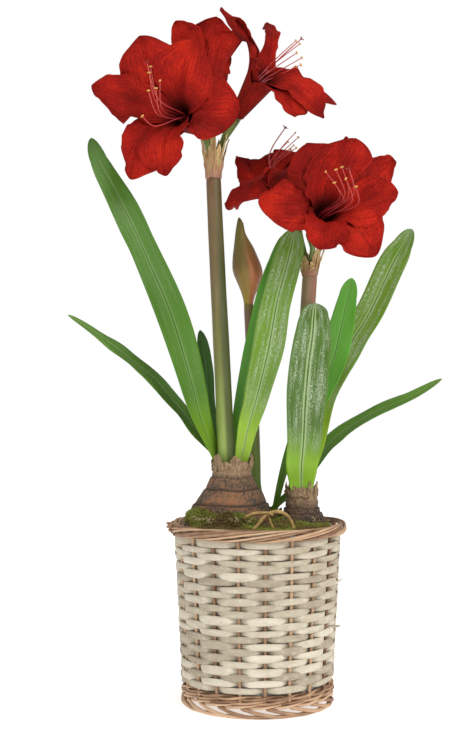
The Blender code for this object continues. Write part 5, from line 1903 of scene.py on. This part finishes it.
class AMARYLLIS_OT_stalks(bpy.types.Operator):
    """Draw up the flower stalks and the closed bud, and set the dry bracts on the stalks"""

    bl_idname = "amaryllis.stalks"
    bl_label = "Stalks, bud and spathes"

    def execute(self, context):
        colours = context.scene.amaryllis_plant
        for node, (stops, tint, amount) in STALK_LOOKS.items():
            item = stalk_body(node + "_surface", STALKS[node])
            item.data.materials.append(stalk_finish(node, stops, tint, amount))
            settle(item, "stalk", node)
        bud = bud_body("bud_surface")
        bud.data.materials.append(bud_finish())
        settle(bud, "bud", "bud")
        paper = spathe_finish(colours)
        for seed, (node, (stalk, strips)) in enumerate(SPATHES.items()):
            item = spathe_shape(stalk, strips, 5.0 + seed * 9.0).build(node + "_strips", paper)
            thicken(item, PAPER_THICKNESS)
            settle(item, "spathe", node)
        return {"FINISHED"}


class AMARYLLIS_OT_leaves(bpy.types.Operator):
    """Shape the nine strap leaves"""

    bl_idname = "amaryllis.leaves"
    bl_label = "Leaves"

    def execute(self, context):
        colours = context.scene.amaryllis_plant
        finishes = {kind: leaf_finish(kind, colours) for kind in LEAF_LOOKS}
        for seed, (node, (midrib, face_base, face_tip, kind)) in enumerate(LEAVES.items()):
            shape = leaf_shape(midrib, face_base, face_tip, 2.0 + seed * 4.3)
            settle(shape.build(node + "_surface", finishes[kind]), "leaf", node)
        return {"FINISHED"}


class AMARYLLIS_OT_flowers(bpy.types.Operator):
    """Open the six flowers: pedicel, outer and inner tepals, and stamens"""

    bl_idname = "amaryllis.flowers"
    bl_label = "Flowers"

    def execute(self, context):
        colours = context.scene.amaryllis_plant
        velvet = {whorl: tepal_finish(colours, whorl) for whorl in WHORLS}
        green = pedicel_finish(colours)
        filament = filament_finish(colours)
        pollen = anther_finish(colours)
        mould = anther_mould()
        for seed, (name, drawn) in enumerate(FLOWERS.items()):
            flower = Flower(drawn)
            stem = pedicel_shape(flower).build(name + "_stem", green)
            settle(stem, "pedicel", name + "_pedicel")
            for whorl, inset in WHORLS.items():
                shape = whorl_shape(flower, whorl, inset, seed * 5.0 + 1.0)
                item = tepal_object(name + "_" + whorl + "_sheets", shape, velvet[whorl])
                settle(item, "tepal", name + "_" + whorl + "_tepals")
            threads = stamen_shape(flower, mould, seed * 3.0 + 2.0)
            item = threads.build(name + "_threads", filament, pollen)
            settle(item, "filament", name + "_stamens")
        bpy.data.objects.remove(mould, do_unlink=True)
        return {"FINISHED"}


def area_light(name, place, aim, size, power, colour):
    """A soft square light that looks at a point."""
    data = bpy.data.lights.new(name, "AREA")
    data.shape = "SQUARE"
    data.size = size
    data.energy = power
    data.color = colour
    light = bpy.data.objects.new(name, data)
    light.location = place
    light.rotation_euler = (Vector(aim) - Vector(place)).to_track_quat("-Z", "Y").to_euler()
    bpy.context.scene.collection.objects.link(light)


class AMARYLLIS_OT_stage(bpy.types.Operator):
    """Set up the pale floor, the soft light and the camera"""

    bl_idname = "amaryllis.stage"
    bl_label = "Stage"

    def execute(self, context):
        looks = context.scene.amaryllis_stage
        bpy.ops.object.select_all(action="DESELECT")
        bpy.ops.mesh.primitive_circle_add(vertices=128, radius=looks.floor_radius,
                                          fill_type="NGON", location=(0, 0, 0))
        floor = context.active_object
        floor.name = "studio_floor"
        made = Finish("floor")
        dusty = tuple(0.99 * part for part in looks.floor_colour)
        colour = made.coats(looks.floor_colour, (made.cloud(3.0), dusty))
        glow = {"emission_color": (1.0, 1.0, 1.0), "emission_strength": looks.floor_glow}
        floor.data.materials.append(made.close(colour, 0.8, **glow))

        # The camera sees plain white, and the part is lit by a weaker white
        sky = Finish("studio", "worlds")
        light, backdrop = (sky.node("Background", {"Color": (1.0, 1.0, 1.0), "Strength": strength})
                           for strength in (looks.ambient, 1.0))
        seen_ray = sky.node("LightPath", output="Is Camera Ray")
        either = sky.node("MixShader", {0: seen_ray, 1: light, 2: backdrop})
        sky.node("OutputWorld", {"Surface": either})
        context.scene.world = sky.owner
        context.scene.view_settings.view_transform = "Standard"

        aim = (0.0, 0.0, 0.38)
        area_light("key_light", (1.2, -1.7, 1.9), aim, 1.3, looks.key, (1.0, 0.985, 0.96))
        area_light("fill_light", (-1.7, -1.3, 0.9), aim, 1.4, looks.fill, (0.97, 0.985, 1.0))

        data = bpy.data.cameras.new("front_camera")
        data.sensor_width = SENSOR_WIDTH
        data.lens = SENSOR_WIDTH * EYE_DISTANCE / FRAME_HEIGHT
        camera = bpy.data.objects.new("front_camera", data)
        camera.location = (EYE_X * MM, -EYE_DISTANCE * MM, EYE_Z * MM)
        camera.rotation_euler = (math.pi / 2, 0.0, 0.0)
        context.scene.collection.objects.link(camera)
        context.scene.camera = camera
        return {"FINISHED"}


class AMARYLLIS_PT_panel(bpy.types.Panel):
    """Lists the pieces of the potted amaryllis"""

    bl_idname = "AMARYLLIS_PT_panel"
    bl_label = "Amaryllis"
    bl_space_type = "VIEW_3D"
    bl_region_type = "UI"
    bl_category = "Amaryllis"

    def draw(self, context):
        layout = self.layout
        for operator in OPERATORS:
            layout.operator(operator.bl_idname)
        scene = context.scene
        for group in (scene.amaryllis_basket, scene.amaryllis_plant, scene.amaryllis_stage):
            box = layout.box()
            for name in group.bl_rna.properties.keys():
                if name not in ("rna_type", "name"):
                    box.prop(group, name)


OPERATORS = (AMARYLLIS_OT_basket, AMARYLLIS_OT_filling, AMARYLLIS_OT_bulbs, AMARYLLIS_OT_moss,
             AMARYLLIS_OT_roots, AMARYLLIS_OT_stalks, AMARYLLIS_OT_leaves, AMARYLLIS_OT_flowers,
             AMARYLLIS_OT_stage)
GROUPS = (BasketSizes, PlantColours, StageLooks)


def register():
    """Register the classes and their scene properties."""
    for item in (*GROUPS, *OPERATORS, AMARYLLIS_PT_panel):
        bpy.utils.register_class(item)
    bpy.types.Scene.amaryllis_basket = PointerProperty(type=BasketSizes)
    bpy.types.Scene.amaryllis_plant = PointerProperty(type=PlantColours)
    bpy.types.Scene.amaryllis_stage = PointerProperty(type=StageLooks)


def unregister():
    """Take the classes and properties away again."""
    del bpy.types.Scene.amaryllis_basket
    del bpy.types.Scene.amaryllis_plant
    del bpy.types.Scene.amaryllis_stage
    for item in reversed((*GROUPS, *OPERATORS, AMARYLLIS_PT_panel)):
        bpy.utils.unregister_class(item)


def main():
    """Build everything in order."""
    register()
    bpy.ops.amaryllis.basket()
    bpy.ops.amaryllis.filling()
    bpy.ops.amaryllis.bulbs()
    bpy.ops.amaryllis.moss()
    bpy.ops.amaryllis.roots()
    bpy.ops.amaryllis.stalks()
    bpy.ops.amaryllis.leaves()
    bpy.ops.amaryllis.flowers()
    bpy.ops.amaryllis.stage()


if __name__ == "__main__":
    main()
